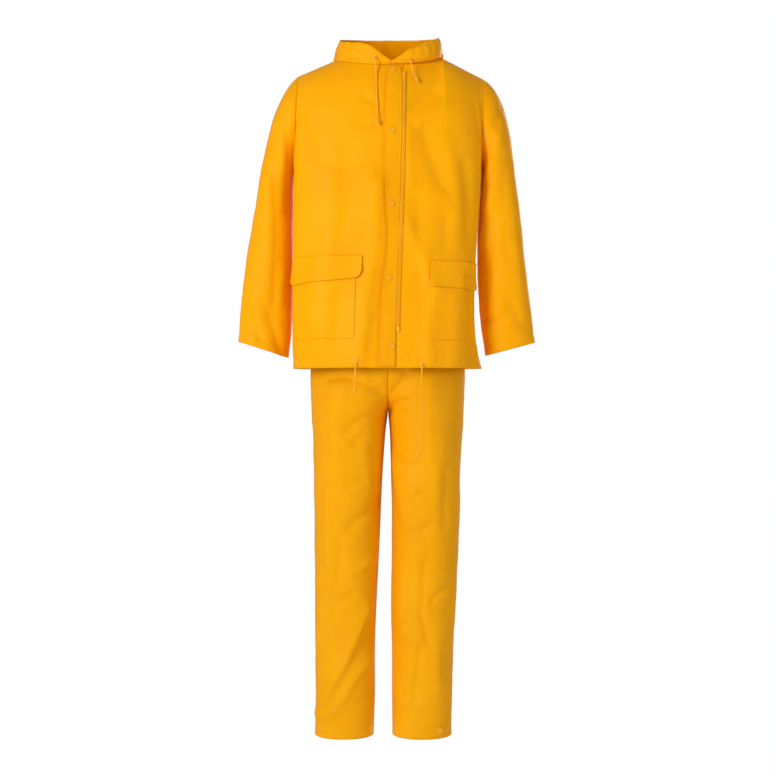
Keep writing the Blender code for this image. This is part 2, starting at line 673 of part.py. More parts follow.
def pocket_grid(pocket):
    """The rows of points of a pocket or its flap, from its points on the front, moved out."""
    columns = lines_between(pocket.inner, pocket.outer, FRONT_NECK_COLUMNS + SHOULDER_COLUMNS)
    bottom = (up_share(pocket.inner_bottom), up_share(pocket.outer_bottom))
    rows = lines_between(max(bottom), up_share(pocket.top), LOWER_ROWS + UPPER_ROWS)
    grid = []
    for number, up in enumerate(rows):
        line = []
        for across in columns:
            share = (across - pocket.inner) / (pocket.outer - pocket.inner)
            height = mix(*bottom, share) if number == 0 else up
            point = front_facet(pocket.side, across, height)
            beside = front_facet(pocket.side, across + 0.02, height)
            beside -= front_facet(pocket.side, across - 0.02, height)
            normal = Vector((beside.y, -beside.x, 0.0)).normalized() * pocket.side
            down = 1 - number / (len(rows) - 1)
            lift = LAY + WALL + pocket.over * (WALL + FLAP_LAY + FLAP_LIFT * down ** 2)
            line.append(point + normal * lift)
        grid.append(line)
    return grid


def front_facet(side, across, up):
    """The point at these shares on a front's own facets."""
    columns = FRONT_NECK_COLUMNS + SHOULDER_COLUMNS
    rows = LOWER_ROWS + UPPER_ROWS
    column = min(columns - 1, int(across * columns + 0.001))
    row = min(rows - 1, int(up * rows + 0.001))
    part_across = across * columns - column
    part_up = up * rows - row
    edges = []
    for line in (row, row + 1):
        first = front_point(side, column / columns, line / rows)
        second = front_point(side, (column + 1) / columns, line / rows)
        edges.append(first.lerp(second, part_across))
    return edges[0].lerp(edges[1], part_up)


def make_sheet(point, columns, rows):
    """A grid of faces whose points follow a function of two shares."""
    sheet = bmesh.new()
    bmesh.ops.create_grid(sheet, x_segments=columns, y_segments=rows, size=0.5)
    for vert in sheet.verts:
        vert.co = point(vert.co.x + 0.5, vert.co.y + 0.5)
    return sheet


def face_outward(sheet, away_from):
    """Turns the sheet's faces so that most of them look away from a line or point inside it."""
    sheet.normal_update()
    total = sum(face.normal.dot(face.calc_center_median() - away_from(face.calc_center_median()))
                * face.calc_area() for face in sheet.faces)
    if total < 0:
        bmesh.ops.reverse_faces(sheet, faces=sheet.faces[:])
    sheet.normal_update()


def seam_key(point):
    return tuple(round(value / SAME_POINT) for value in point)


def way_and_run(vert):
    """The outward direction at a point of a sheet, and the direction from it into the sheet."""
    middle = sum((face.calc_center_median() for face in vert.link_faces), Vector())
    return vert.normal.copy(), (middle / len(vert.link_faces) - vert.co).normalized()


def pull_back(sheet):
    """Moves the sheet's border inward by half a seam gap."""
    shifts = {}
    for edge in sheet.edges:
        if len(edge.link_faces) != 1:
            continue
        first, second = edge.verts
        middle = edge.link_faces[0].calc_center_median()
        run = (second.co - first.co).normalized()
        inward = middle - first.co
        inward = (inward - run * inward.dot(run)).normalized()
        for vert in edge.verts:
            shifts.setdefault(vert, []).append(inward)
    for vert, ways in shifts.items():
        total = sum(ways, Vector())
        share = 1 + (ways[0].dot(ways[1]) if len(ways) > 1 else 0)
        vert.co += total / max(0.6, share) * SEAM_GAP / 2


def close_wall(name, sheet, normals, recipe):
    """Gives a sheet its thickness, on the inner side, and makes the object.

    At a seam, pieces that meet flat or in a ridge share one direction, so that their walls
    don't cross. Where they meet in a valley, as the hood does at the neck, each keeps its own.
    """
    inner_way = sheet.verts.layers.float_vector.new("inner way")
    for vert in sheet.verts:
        alike = [way for way, into in normals.get(seam_key(vert.co), [])
                 if into.dot(vert.normal) < 0.1 and way != vert.normal]
        vert[inner_way] = sum(alike, vert.normal).normalized()
    pull_back(sheet)
    result = bmesh.ops.extrude_face_region(sheet, geom=sheet.faces[:])
    for item in result["geom"]:
        if isinstance(item, bmesh.types.BMVert):
            item.co -= item[inner_way] * WALL
    bmesh.ops.recalc_face_normals(sheet, faces=sheet.faces[:])
    mesh = bpy.data.meshes.new(name)
    sheet.to_mesh(mesh)
    sheet.free()
    mesh.shade_smooth()
    mesh.set_sharp_from_angle(angle=math.radians(50))
    mesh.materials.append(make_material(recipe))
    item = bpy.data.objects.new(name, mesh)
    bpy.context.collection.objects.link(item)
    return item


def middle_line(point):
    return Vector((0.0, 0.0, point.z))


def sleeve_line(side):
    def line(point):
        return Vector((side * 0.265, 0.010, point.z - 0.05))
    return line


def leg_line(side):
    def line(point):
        return Vector((side * 0.088, 0.0, point.z))
    return line


def cloth_sheets():
    """All the cloth pieces as sheets: name, points, columns, rows, inside and material."""
    front_columns = FRONT_NECK_COLUMNS + SHOULDER_COLUMNS
    back_columns = BACK_NECK_COLUMNS + 2 * SHOULDER_COLUMNS
    rows = LOWER_ROWS + UPPER_ROWS
    hood_columns = 2 * FRONT_NECK_COLUMNS + BACK_NECK_COLUMNS
    pieces = [
        ("back", back_point, back_columns, rows, middle_line, CLOTH),
        ("hood", hood_point, hood_columns, HOOD_ROWS, middle_line, INSIDE),
        ("waistband", band_point, BAND_COLUMNS, 1, middle_line, TROUSER),
        ("storm_flap", flap_point, 4, rows, middle_line, CLOTH),
    ]
    for side, word in ((-1, "right"), (1, "left")):
        pieces.append(("front_" + word, lambda u, v, s=side: front_point(s, u, v),
                       front_columns, rows, middle_line, CLOTH))
        pieces.append(("sleeve_" + word, lambda u, v, s=side: sleeve_point(s, u, v),
                       2 * UPPER_ROWS, CAP_ROWS + SLEEVE_ROWS, sleeve_line(side), CLOTH))
        pieces.append(("leg_" + word, lambda u, v, s=side: leg_point(s, u, v),
                       LEG_COLUMNS, HIP_ROWS + LEG_ROWS, leg_line(side), TROUSER))
    for pocket in POCKETS:
        grid = pocket_grid(pocket)
        columns = len(grid[0]) - 1
        rows = len(grid) - 1
        pieces.append((pocket.name, lambda u, v, g=grid, c=columns, r=rows: g[round(v * r)][round(u * c)],
                       columns, rows, middle_line, CLOTH))
    return pieces


def make_cloth():
    sheets = []
    normals = {}
    for name, point, columns, rows, inside, recipe in cloth_sheets():
        sheet = make_sheet(point, columns, rows)
        face_outward(sheet, inside)
        for vert in sheet.verts:
            normals.setdefault(seam_key(vert.co), []).append(way_and_run(vert))
        sheets.append((name, sheet, recipe))
    for name, sheet, recipe in sheets:
        close_wall(name, sheet, normals if name != "hood" else {}, recipe)


def finish_object(name, shape, recipe):
    bmesh.ops.recalc_face_normals(shape, faces=shape.faces[:])
    mesh = bpy.data.meshes.new(name)
    shape.to_mesh(mesh)
    shape.free()
    mesh.shade_smooth()
    mesh.set_sharp_from_angle(angle=math.radians(40))
    mesh.materials.append(make_material(recipe))
    item = bpy.data.objects.new(name, mesh)
    bpy.context.collection.objects.link(item)
    return item


def turned(profile, steps):
    """A solid turned round Z from a profile of radius and height, open at neither end."""
    shape = bmesh.new()
    verts = [shape.verts.new((radius, 0.0, height)) for radius, height in profile]
    edges = [shape.edges.new(pair) for pair in zip(verts, verts[1:])]
    bmesh.ops.spin(shape, geom=verts + edges, axis=(0, 0, 1), cent=(0, 0, 0),
                   angle=2 * math.pi, steps=steps, use_merge=True)
    bmesh.ops.remove_doubles(shape, verts=shape.verts[:], dist=1e-6)
    return shape


def stand_on(item, point, normal):
    """Places a turned piece at a point with its Z axis along the normal."""
    item.rotation_mode = "QUATERNION"
    item.rotation_quaternion = normal.to_track_quat("Z", "Y")
    item.location = point


def seat(carrier, point, outward, radius):
    """Where a round piece rests on a cloth piece, just clear of its faces: centre and axis."""
    mesh = bpy.data.objects[carrier].data
    mesh.calc_loop_triangles()
    tree = BVHTree.FromPolygons([vert.co for vert in mesh.vertices],
                                [triangle.vertices[:] for triangle in mesh.loop_triangles])
    beside = outward.orthogonal().normalized()
    above = outward.cross(beside)
    rim = []
    inner = []
    for step in range(ROUND_STEPS):
        turn = 2 * math.pi * step / ROUND_STEPS
        way = (beside * math.cos(turn) + above * math.sin(turn)) * radius
        for share, hits in ((1.0, rim), (0.75, inner), (0.5, inner), (0.25, inner), (0.0, inner)):
            hits.append(tree.ray_cast(point + way * share + outward * SEAT_REACH, -outward)[0])
    centre = sum(rim, Vector()) / len(rim)
    axis = sum(((first - centre).cross(second - centre) for first, second in zip(rim, rim[1:] + rim[:1])),
               Vector()).normalized()
    if axis.dot(outward) < 0:
        axis.negate()
    height = max((hit - centre).dot(axis) for hit in rim + inner)
    return centre + axis * (height + SEAT_GAP), axis


def make_snap(name, carrier, point, outward):
    profile = [(0.0, 0.0), (SNAP_RADIUS, 0.0), (SNAP_RADIUS, SNAP_HEIGHT * 0.35),
               (SNAP_RADIUS * 0.72, SNAP_HEIGHT * 0.85), (0.0, SNAP_HEIGHT)]
    item = finish_object(name, turned(profile, ROUND_STEPS), SNAP)
    stand_on(item, *seat(carrier, point, outward, SNAP_RADIUS))


def make_snaps():
    for number, (x, down) in enumerate(SNAPS, 1):
        row = look_up(CLOSURE, flap_point(0.5, down).z)
        across = (x - row.free) / (row.zip - FLAP_ROOT_GAP - row.free)
        make_snap(f"snap_{number}", "storm_flap", flap_point(across, down), Vector((0.0, -1.0, 0.0)))


def make_leg_snaps():
    for side, turn_share, word in LEG_SNAPS:
        down = 1 - LEG_SNAP_RISE / (CROTCH_Z - LEG_HEM_Z) * LEG_ROWS / (HIP_ROWS + LEG_ROWS)
        point = leg_point(side, turn_share, down)
        outward = (point - leg_line(side)(point)).normalized()
        make_snap(f"snap_leg_{word}", f"leg_{word}", point, outward)


def make_eyelet(name, carrier, point, outward):
    """An eyelet on its cloth; gives back where its cord comes out, and which way."""
    profile = [(EYELET_HOLE, 0.0), (EYELET_RADIUS, 0.0), (EYELET_RADIUS, EYELET_HEIGHT * 0.4),
               (EYELET_HOLE + 0.0008, EYELET_HEIGHT), (EYELET_HOLE, EYELET_HEIGHT * 0.7), (EYELET_HOLE, 0.0)]
    item = finish_object(name, turned(profile, ROUND_STEPS), SNAP)
    centre, axis = seat(carrier, point, outward, EYELET_RADIUS)
    stand_on(item, centre, axis)
    return centre, axis


def make_eyelets():
    exits = {}
    for side, x, z, word in HEM_EYELETS:
        up = up_share(z)
        exits["hem_cord_" + word] = make_eyelet("eyelet_hem_" + word, "front_" + word,
                                                on_facets(side, up, x), facet_normal(side, up, x))
    for share, up, word in HOOD_EYELETS:
        beside = hood_point(share + 0.01, up) - hood_point(share - 0.01, up)
        above = hood_point(share, up + 0.1) - hood_point(share, up - 0.1)
        outward = beside.cross(above).normalized()
        if outward.y > 0:
            outward.negate()
        exits["hood_cord_" + word] = make_eyelet("eyelet_hood_" + word, "hood",
                                                 hood_point(share, up), outward)
    return exits


def make_cord(name, route):
    """A cord as a tube along a smooth curve through its route, with a point every few diameters."""
    points = [Vector(place) for place in route]
    line = []
    for step in range(len(points) - 1):
        before = points[max(step - 1, 0)]
        after = points[min(step + 2, len(points) - 1)]
        start = points[step]
        end = points[step + 1]
        count = max(2, round((end - start).length / (CORD_DIAMETER * 2.5)))
        for part in range(count):
            line.append(hermite(start, end, (end - before) / 2, (after - start) / 2, part / count))
    line.append(points[-1])
    curve = bpy.data.curves.new(name, "CURVE")
    curve.dimensions = "3D"
    curve.bevel_depth = CORD_DIAMETER / 2
    curve.bevel_resolution = 2
    curve.use_fill_caps = True
    spline = curve.splines.new("POLY")
    spline.points.add(len(line) - 1)
    for point, place in zip(spline.points, line):
        point.co = (*place, 1.0)
    curve.materials.append(make_material(CORD))
    item = bpy.data.objects.new(name, curve)
    bpy.context.collection.objects.link(item)


def make_knot(name, route):
    """The knot under a cord's free end."""
    end = Vector(route[-1])
    way = (end - Vector(route[-2])).normalized()
    shape = bmesh.new()
    bmesh.ops.create_uvsphere(shape, u_segments=8, v_segments=6, radius=KNOT_RADIUS)
    bmesh.ops.scale(shape, vec=KNOT_SHAPE, verts=shape.verts[:])
    item = finish_object(name, shape, CORD)
    stand_on(item, end + way * (KNOT_RADIUS * KNOT_SHAPE[2] + SEAM_GAP), way)


def make_cords(exits):
    """Each cord comes straight out of its eyelet and then follows its route."""
    cords = (("hood_cord_right", HOOD_CORD_RIGHT), ("hood_cord_left", HOOD_CORD_LEFT),
             ("hem_cord_right", HEM_CORD_RIGHT), ("hem_cord_left", HEM_CORD_LEFT))
    for name, route in cords:
        centre, axis = exits[name]
        first = centre + axis * CORD_OUT[0]
        second = centre + axis * CORD_OUT[1] - Vector((0.0, 0.0, CORD_DIP))
        make_cord(name, (centre, first, second, *route))
        make_knot(name.replace("cord", "knot"), route)


def zip_point(across, down):
    """A point of the zip chain, over the line where the fronts meet."""
    up = mix(ZIP_TOP, ZIP_BOTTOM, down)
    seam = front_point(-1, 0.0, up)
    side = 1 if across > 0.5 else -1
    point = on_facets(side, up, seam.x + (across - 0.5) * ZIP_WIDTH) if across != 0.5 else seam
    return point + facet_normal(-1, up, seam.x - 0.02) * (LAY + WALL)


def make_zip():
    """The chain shows beside the flap's root; a small box holds its lower end."""
    sheet = make_sheet(zip_point, 2, ZIP_ROWS)
    face_outward(sheet, middle_line)
    normals = {seam_key(vert.co): [way_and_run(vert)] for vert in sheet.verts}
    close_wall("zip", sheet, normals, ZIP)
    shape = bmesh.new()
    bmesh.ops.create_cube(shape, size=1.0)
    bmesh.ops.scale(shape, vec=ZIP_BOX, verts=shape.verts[:])
    bmesh.ops.bevel(shape, geom=shape.edges[:], offset=ZIP_BOX_EDGE, segments=1, affect="EDGES")
    box = finish_object("zip_box", shape, ZIP)
    lower = zip_point(0.5, 1.0)
    box.location = lower + ZIP_BOX_SHIFT - Vector((0.0, 0.0, ZIP_BOX[2] / 2 + SEAM_GAP))


clear_scene()
make_cloth()
make_snaps()
make_leg_snaps()
make_zip()
make_cords(make_eyelets())
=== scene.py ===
"""A worn, empty two-piece rain suit: a hooded zip jacket with a storm flap, over plain trousers."""
import math
from collections import namedtuple

import bmesh
import bpy
from mathutils import Matrix, Vector, noise
from mathutils.bvhtree import BVHTree


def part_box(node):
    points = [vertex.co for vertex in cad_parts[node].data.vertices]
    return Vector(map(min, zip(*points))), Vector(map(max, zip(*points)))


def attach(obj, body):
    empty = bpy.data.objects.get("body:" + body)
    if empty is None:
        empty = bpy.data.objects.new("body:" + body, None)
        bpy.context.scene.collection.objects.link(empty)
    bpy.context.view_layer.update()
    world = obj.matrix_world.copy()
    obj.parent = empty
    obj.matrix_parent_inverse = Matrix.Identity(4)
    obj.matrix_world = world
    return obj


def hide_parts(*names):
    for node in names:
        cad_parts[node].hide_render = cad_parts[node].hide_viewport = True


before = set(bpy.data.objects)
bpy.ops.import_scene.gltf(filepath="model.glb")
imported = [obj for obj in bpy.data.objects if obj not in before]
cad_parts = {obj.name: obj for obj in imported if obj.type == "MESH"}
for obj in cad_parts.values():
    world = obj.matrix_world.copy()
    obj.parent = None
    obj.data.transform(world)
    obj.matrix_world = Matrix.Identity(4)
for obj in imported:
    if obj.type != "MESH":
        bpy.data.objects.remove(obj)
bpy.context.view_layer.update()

# Camera
# A long lens, level with the jacket's hem, straight in front of the suit.
CAMERA_DISTANCE = 3.6
CAMERA_HEIGHT = -0.752
CAMERA_LENS = 72.6
camera_data = bpy.data.cameras.new("camera")
camera_data.lens = CAMERA_LENS
camera = bpy.data.objects.new("camera", camera_data)
camera.location = (0.0, -CAMERA_DISTANCE, CAMERA_HEIGHT)
camera.rotation_euler = (math.radians(90), 0.0, 0.0)
bpy.context.collection.objects.link(camera)
bpy.context.scene.camera = camera


# Drawcords
# Two cords close the hood and two draw in the jacket's hem. Each is a 3 mm braid of polyester that
# comes out of an eyelet and ends in an overhand knot with a short tail.
CORD_DIAMETER = 0.0030
CORD_COLOUR = "#ffc637"
# The darker tone is painted shade, laid into the braid's grooves.
CORD_GROOVE_SHADE = "#e89a10"
CORD_OUT = (0.0020, 0.0046)
CORD_DIP = 0.0008
KNOT_RADIUS = 0.0042
KNOT_LENGTH = 1.35
KNOT_TAIL = 0.006
Cord = namedtuple("Cord", "name eyelet knot route")
CORDS = (
    Cord("hood_cord_right", "eyelet_hood_right", "hood_knot_right", (
        (-0.0284, -0.0990, -0.0160),
        (-0.0262, -0.1035, -0.0500),
        (-0.0250, -0.1165, -0.0950),
        (-0.0236, -0.1246, -0.1300),
        (-0.0226, -0.1300, -0.1560),
    )),
    Cord("hood_cord_left", "eyelet_hood_left", "hood_knot_left", (
        (0.0516, -0.1003, -0.0220),
        (0.0545, -0.0988, -0.0400),
        (0.0620, -0.1005, -0.0570),
    )),
    Cord("hem_cord_right", "eyelet_hem_right", "hem_knot_right", (
        (-0.0712, -0.1604, -0.6990),
        (-0.0722, -0.1590, -0.7150),
        (-0.0728, -0.1570, -0.7340),
        (-0.0730, -0.1560, -0.7500),
    )),
    Cord("hem_cord_left", "eyelet_hem_left", "hem_knot_left", (
        (0.0755, -0.1574, -0.7060),
        (0.0738, -0.1567, -0.7250),
        (0.0718, -0.1560, -0.7800),
        (0.0705, -0.1558, -0.8400),
        (0.0696, -0.1555, -0.8960),
    )),
)


def linear(colour):
    """An sRGB hex colour as linear red, green, blue and alpha."""
    channels = []
    for at in (1, 3, 5):
        value = int(colour[at:at + 2], 16) / 255
        channels.append(value / 12.92 if value <= 0.04045 else ((value + 0.055) / 1.055) ** 2.4)
    return (*channels, 1.0)


def add_node(tree, kind, values=None, links=None, **settings):
    """Adds a node: settings are its own fields, values its sockets, links the sockets that feed it."""
    node = tree.nodes.new(kind)
    for field, value in settings.items():
        setattr(node, field, value)
    for socket, value in (values or {}).items():
        node.inputs[socket].default_value = value
    for socket, source in (links or {}).items():
        tree.links.new(source, node.inputs[socket])
    return node


def new_material(name):
    material = bpy.data.materials.new(name)
    material.use_nodes = True
    return material, material.node_tree, material.node_tree.nodes["Principled BSDF"]


def mix(start, end, share):
    return start + (end - start) * share


def hermite(start, end, leave, arrive, share):
    """A smooth step from start to end that leaves and arrives with these slopes."""
    square = share * share
    cube = square * share
    return (start * (2 * cube - 3 * square + 1) + leave * (cube - 2 * square + share)
            + end * (3 * square - 2 * cube) + arrive * (cube - square))


def smooth_line(places, spacing):
    """Points along a smooth curve through these places, about this far apart."""
    points = [Vector(place) for place in places]
    line = []
    for step in range(len(points) - 1):
        before = points[max(step - 1, 0)]
        after = points[min(step + 2, len(points) - 1)]
        start = points[step]
        end = points[step + 1]
        count = max(2, round((end - start).length / spacing))
        for part in range(count):
            line.append(hermite(start, end, (end - before) / 2, (after - start) / 2, part / count))
    line.append(points[-1])
    return line


def tube(name, lines, radius, material, closed=False):
    """A tube along one or more lines of points."""
    curve = bpy.data.curves.new(name, "CURVE")
    curve.dimensions = "3D"
    curve.bevel_depth = radius
    curve.bevel_resolution = 3
    curve.use_fill_caps = True
    for line in lines:
        spline = curve.splines.new("POLY")
        spline.points.add(len(line) - 1)
        spline.use_cyclic_u = closed
        for point, place in zip(spline.points, line):
            point.co = (*place, 1.0)
    curve.materials.append(material)
    item = bpy.data.objects.new(name, curve)
    bpy.context.collection.objects.link(item)
    return item


def knot_line(centre, way):
    """An overhand knot as a closed loop round its own middle, drawn tight."""
    turn = way.to_track_quat("Z", "Y")
    size = (KNOT_RADIUS - CORD_DIAMETER * 0.42) / 3
    rise = KNOT_RADIUS * KNOT_LENGTH - CORD_DIAMETER * 0.42
    line = []
    for step in range(36):
        angle = 2 * math.pi * step / 36
        place = Vector((size * (math.sin(angle) + 2 * math.sin(2 * angle)),
                        size * (math.cos(angle) - 2 * math.cos(2 * angle)),
                        rise * -math.sin(3 * angle) * 0.8))
        line.append(centre + turn @ place)
    return line


# Polyester braid: matt, with fine slanting ridges that catch small lights. Its yellow darkens to a painted shade in
# the grooves between the ridges, following their height.
BRAID_PITCH = 0.0022
braid, tree, shader = new_material("braided polyester cord")
coords = add_node(tree, "ShaderNodeTexCoord")
stretch = add_node(tree, "ShaderNodeMapping", {"Scale": (1 / BRAID_PITCH, 1 / BRAID_PITCH, 0.5 / BRAID_PITCH)},
                   {"Vector": coords.outputs["Object"]})
cells = add_node(tree, "ShaderNodeTexVoronoi", {"Scale": 1.0}, {"Vector": stretch.outputs["Vector"]})
# The mix follows the ridges' height, so the darker tone is painted shade in the grooves between them.
tones = add_node(tree, "ShaderNodeMix", None, {"Factor": cells.outputs["Distance"]}, data_type="RGBA")
tones.inputs["A"].default_value = linear(CORD_COLOUR)
tones.inputs["B"].default_value = linear(CORD_GROOVE_SHADE)
ridges = add_node(tree, "ShaderNodeBump", {"Strength": 0.5, "Distance": 0.0004},
                  {"Height": cells.outputs["Distance"]}, invert=True)
tree.links.new(tones.outputs["Result"], shader.inputs["Base Color"])
tree.links.new(ridges.outputs["Normal"], shader.inputs["Normal"])
shader.inputs["Roughness"].default_value = 0.7
shader.inputs["Specular IOR Level"].default_value = 0.25

for cord in CORDS:
    low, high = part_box(cord.eyelet)
    start = (Vector(low) + Vector(high)) / 2
    first = start + Vector((0.0, -CORD_OUT[0], 0.0))
    second = start + Vector((0.0, -CORD_OUT[1], -CORD_DIP))
    line = smooth_line((start, first, second, *cord.route), 0.0055)
    length = sum((after - before).length for before, after in zip(line, line[1:]))
    piece = tube(cord.name + "_braid", [line], CORD_DIAMETER / 2, braid)
    way = (line[-1] - line[-2]).normalized()
    middle = line[-1] + way * KNOT_RADIUS * KNOT_LENGTH
    knot = tube(cord.knot + "_tied", [knot_line(middle, way)], CORD_DIAMETER * 0.42, braid, closed=True)
    tail_start = middle + way * KNOT_RADIUS * 0.6
    tail = tube(cord.knot + "_tail", [[tail_start, tail_start + way * KNOT_TAIL * 0.5,
                                       tail_start + way * KNOT_TAIL + Vector((0.0008, 0.0, 0.0))]],
                CORD_DIAMETER * 0.36, braid)
    for item in (piece, knot, tail):
        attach(item, "root")
    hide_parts(cord.name)
    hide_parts(cord.knot)


# Jacket body
# One back and two fronts in a light polyester with a coat of polyurethane on it. They are sewn at the
# sides and shoulders, and the hem is turned up into a tunnel for its cord.
WALL = 0.0008
HEM_Z = -0.708
ARMPIT_Z = -0.250
SIDE_SEAM = math.radians(105)
NECK_COLUMN_ANGLE = math.radians(36)
ROUND_FRONT = 2.5
ROUND_BACK = 2.1
NECK_WIDTH = 0.122
NECK_Y = -0.005
NECK_FRONT = 0.082
NECK_BACK = 0.080
NECK_FRONT_Z = -0.025
NECK_SIDE_Z = 0.003
NECK_TILT = 0.0035
NECK_BACK_Z = 0.012
SHOULDER_RIGHT = Vector((-0.2047, 0.003, -0.0345))
SHOULDER_LEFT = Vector((0.2180, 0.003, -0.0410))
HOOD_CLOSE_ANGLE = math.radians(3.3)
ARMHOLE_LEAVE = (0.010, 0.235, 0.100)
ARMHOLE_ARRIVE = (-0.010, -0.235, 0.130)
NECK_ARRIVE = (0.42, 0.85)
SHOULDER_ARRIVE = (1.15, 0.22)
SEAM_PULL = 0.95
HOLD_START = 0.25
NECK_SHARE = 5 / 11
LOWER_SHARE = 10 / 18
BACK_EDGE_SHARE = 6 / 22
FRONT_GRID = (66, 126)
BACK_GRID = (132, 126)
SEAM_DIP = 0.00015
SEAM_REACH = 0.0030
SEAM_CALM = 0.016
HEM_TUNNEL = 0.023
JACKET_COLOUR = "#fbab00"
JACKET_SHADE = "#f7a600"

Body = namedtuple("Body", "z right left front back widest")
BODY = (
    Body(-0.250, 0.2135, 0.2125, -0.128, 0.124, -0.045),
    Body(-0.350, 0.2145, 0.2065, -0.138, 0.130, -0.050),
    Body(-0.450, 0.2155, 0.1995, -0.143, 0.133, -0.050),
    Body(-0.550, 0.2165, 0.1950, -0.146, 0.137, -0.048),
    Body(-0.640, 0.2175, 0.1990, -0.149, 0.142, -0.036),
    Body(-0.708, 0.2160, 0.2140, -0.150, 0.147, -0.012),
)

# Where the zip runs and where the storm flap's free edge lies
Closure = namedtuple("Closure", "z zip free lift")
CLOSURE = (
    Closure(-0.020, 0.0360, -0.0020, 0.0030),
    Closure(-0.180, 0.0345, -0.0050, 0.0038),
    Closure(-0.330, 0.0300, -0.0060, 0.0060),
    Closure(-0.425, 0.0265, -0.0010, 0.0030),
    Closure(-0.520, 0.0235, -0.0110, 0.0070),
    Closure(-0.616, 0.0205, -0.0160, 0.0045),
    Closure(-0.708, 0.0187, -0.0180, 0.0060),
)

# Creases, seen from the front or the back: a path in x and z, how wide and high each is, how much
# wider its viewer's right side is (on a path that runs down), and how crisp, from 2 (soft) down
Crease = namedtuple("Crease", "path width height lean crisp")
JACKET_CREASES_FRONT = (
    Crease(((-0.025, -0.300), (-0.025, -0.432), (-0.054, -0.581), (-0.073, -0.695)), 0.024, 0.0085, -0.2, 1.7),
    Crease(((-0.044, -0.590), (-0.052, -0.640), (-0.058, -0.700)), 0.011, 0.0045, 0.0, 1.7),
    Crease(((-0.054, -0.101), (-0.030, -0.116)), 0.010, -0.0035, 0.0, 1.6),
    Crease(((-0.066, -0.166), (-0.042, -0.169), (-0.020, -0.168)), 0.008, -0.0025, 0.0, 1.5),
    Crease(((-0.093, -0.220), (-0.098, -0.260), (-0.103, -0.300)), 0.022, -0.0045, 0.2, 2.0),
    Crease(((-0.196, -0.130), (-0.188, -0.180), (-0.172, -0.232)), 0.015, -0.0060, 0.3, 1.8),
    Crease(((-0.145, -0.375), (-0.155, -0.410), (-0.165, -0.440)), 0.015, -0.0045, 0.0, 1.7),
    Crease(((-0.120, -0.290), (-0.138, -0.440), (-0.150, -0.640)), 0.038, 0.0055, 0.1, 2.0),
    Crease(((-0.090, -0.340), (-0.105, -0.440)), 0.020, -0.0030, 0.0, 2.0),
    Crease(((-0.188, -0.470), (-0.196, -0.560), (-0.192, -0.690)), 0.016, -0.0050, 0.2, 1.8),
    Crease(((-0.110, -0.560), (-0.118, -0.690)), 0.018, -0.0035, 0.0, 1.9),
    Crease(((0.100, -0.087), (0.078, -0.104), (0.057, -0.121)), 0.012, -0.0050, 0.2, 1.6),
    Crease(((0.070, -0.150), (0.090, -0.135), (0.120, -0.120)), 0.014, 0.0030, 0.0, 1.9),
    Crease(((0.081, -0.185), (0.096, -0.240), (0.119, -0.298)), 0.020, -0.0065, 0.2, 1.8),
    Crease(((0.132, -0.215), (0.150, -0.290), (0.158, -0.360)), 0.020, 0.0045, 0.0, 1.9),
    Crease(((0.047, -0.400), (0.075, -0.471), (0.104, -0.543), (0.092, -0.605), (0.088, -0.700)),
           0.020, 0.0075, 0.2, 1.7),
    Crease(((0.070, -0.340), (0.064, -0.440), (0.070, -0.520)), 0.016, -0.0040, 0.0, 1.8),
    Crease(((0.129, -0.378), (0.130, -0.440)), 0.014, -0.0045, -0.2, 1.6),
    Crease(((0.145, -0.560), (0.150, -0.640), (0.140, -0.700)), 0.018, 0.0040, 0.0, 1.9),
    Crease(((0.183, -0.500), (0.187, -0.600), (0.188, -0.712)), 0.012, -0.0120, 0.2, 1.7),
    Crease(((0.172, -0.250), (0.178, -0.340), (0.182, -0.430)), 0.016, -0.0045, 0.0, 1.9),
    Crease(((0.044, -0.180), (0.050, -0.300)), 0.012, 0.0030, 0.0, 1.8),
)
JACKET_CREASES_BACK = (
    Crease(((-0.112, -0.240), (-0.098, -0.440), (-0.090, -0.700)), 0.032, 0.0075, 0.1, 1.9),
    Crease(((0.020, -0.280), (0.016, -0.460), (0.010, -0.700)), 0.034, -0.0065, 0.0, 2.0),
    Crease(((0.115, -0.220), (0.110, -0.430), (0.100, -0.700)), 0.032, 0.0075, -0.1, 1.9),
    Crease(((-0.165, -0.150), (-0.140, -0.220), (-0.070, -0.270)), 0.016, -0.0050, 0.2, 1.8),
    Crease(((0.170, -0.155), (0.140, -0.225), (0.080, -0.262)), 0.016, -0.0050, -0.2, 1.8),
    Crease(((-0.178, -0.250), (-0.160, -0.380), (-0.168, -0.520)), 0.018, 0.0045, 0.0, 1.9),
    Crease(((0.174, -0.260), (0.168, -0.400), (0.176, -0.560)), 0.018, 0.0045, 0.0, 1.9),
    Crease(((-0.040, -0.330), (-0.052, -0.450)), 0.014, -0.0035, 0.0, 1.7),
    Crease(((0.060, -0.420), (0.052, -0.560)), 0.016, 0.0035, 0.0, 1.8),
    Crease(((-0.030, -0.560), (-0.040, -0.690)), 0.015, 0.0040, 0.0, 1.8),
    Crease(((-0.090, -0.140), (0.000, -0.155), (0.085, -0.140)), 0.014, -0.0030, 0.0, 1.9),
    Crease(((0.150, -0.580), (0.146, -0.700)), 0.013, -0.0050, 0.0, 1.7),
)


def look_up(table, key):
    """The table's row at this key, on a smooth curve through its rows."""
    keys = [row[0] for row in table]
    rising = keys[-1] > keys[0]
    low = 0
    while low < len(keys) - 2 and (key > keys[low + 1]) == rising and key != keys[low + 1]:
        low += 1
    span = keys[low + 1] - keys[low]
    share = min(1.0, max(0.0, (key - keys[low]) / span))
    values = [key]
    for column in range(1, len(table[0])):
        value = [row[column] for row in table]
        before = max(low - 1, 0)
        after = min(low + 2, len(keys) - 1)
        slope_in = (value[low + 1] - value[before]) / (keys[low + 1] - keys[before]) * span
        slope_out = (value[after] - value[low]) / (keys[after] - keys[low]) * span
        values.append(hermite(value[low], value[low + 1], slope_in, slope_out, share))
    return type(table[0])(*values)


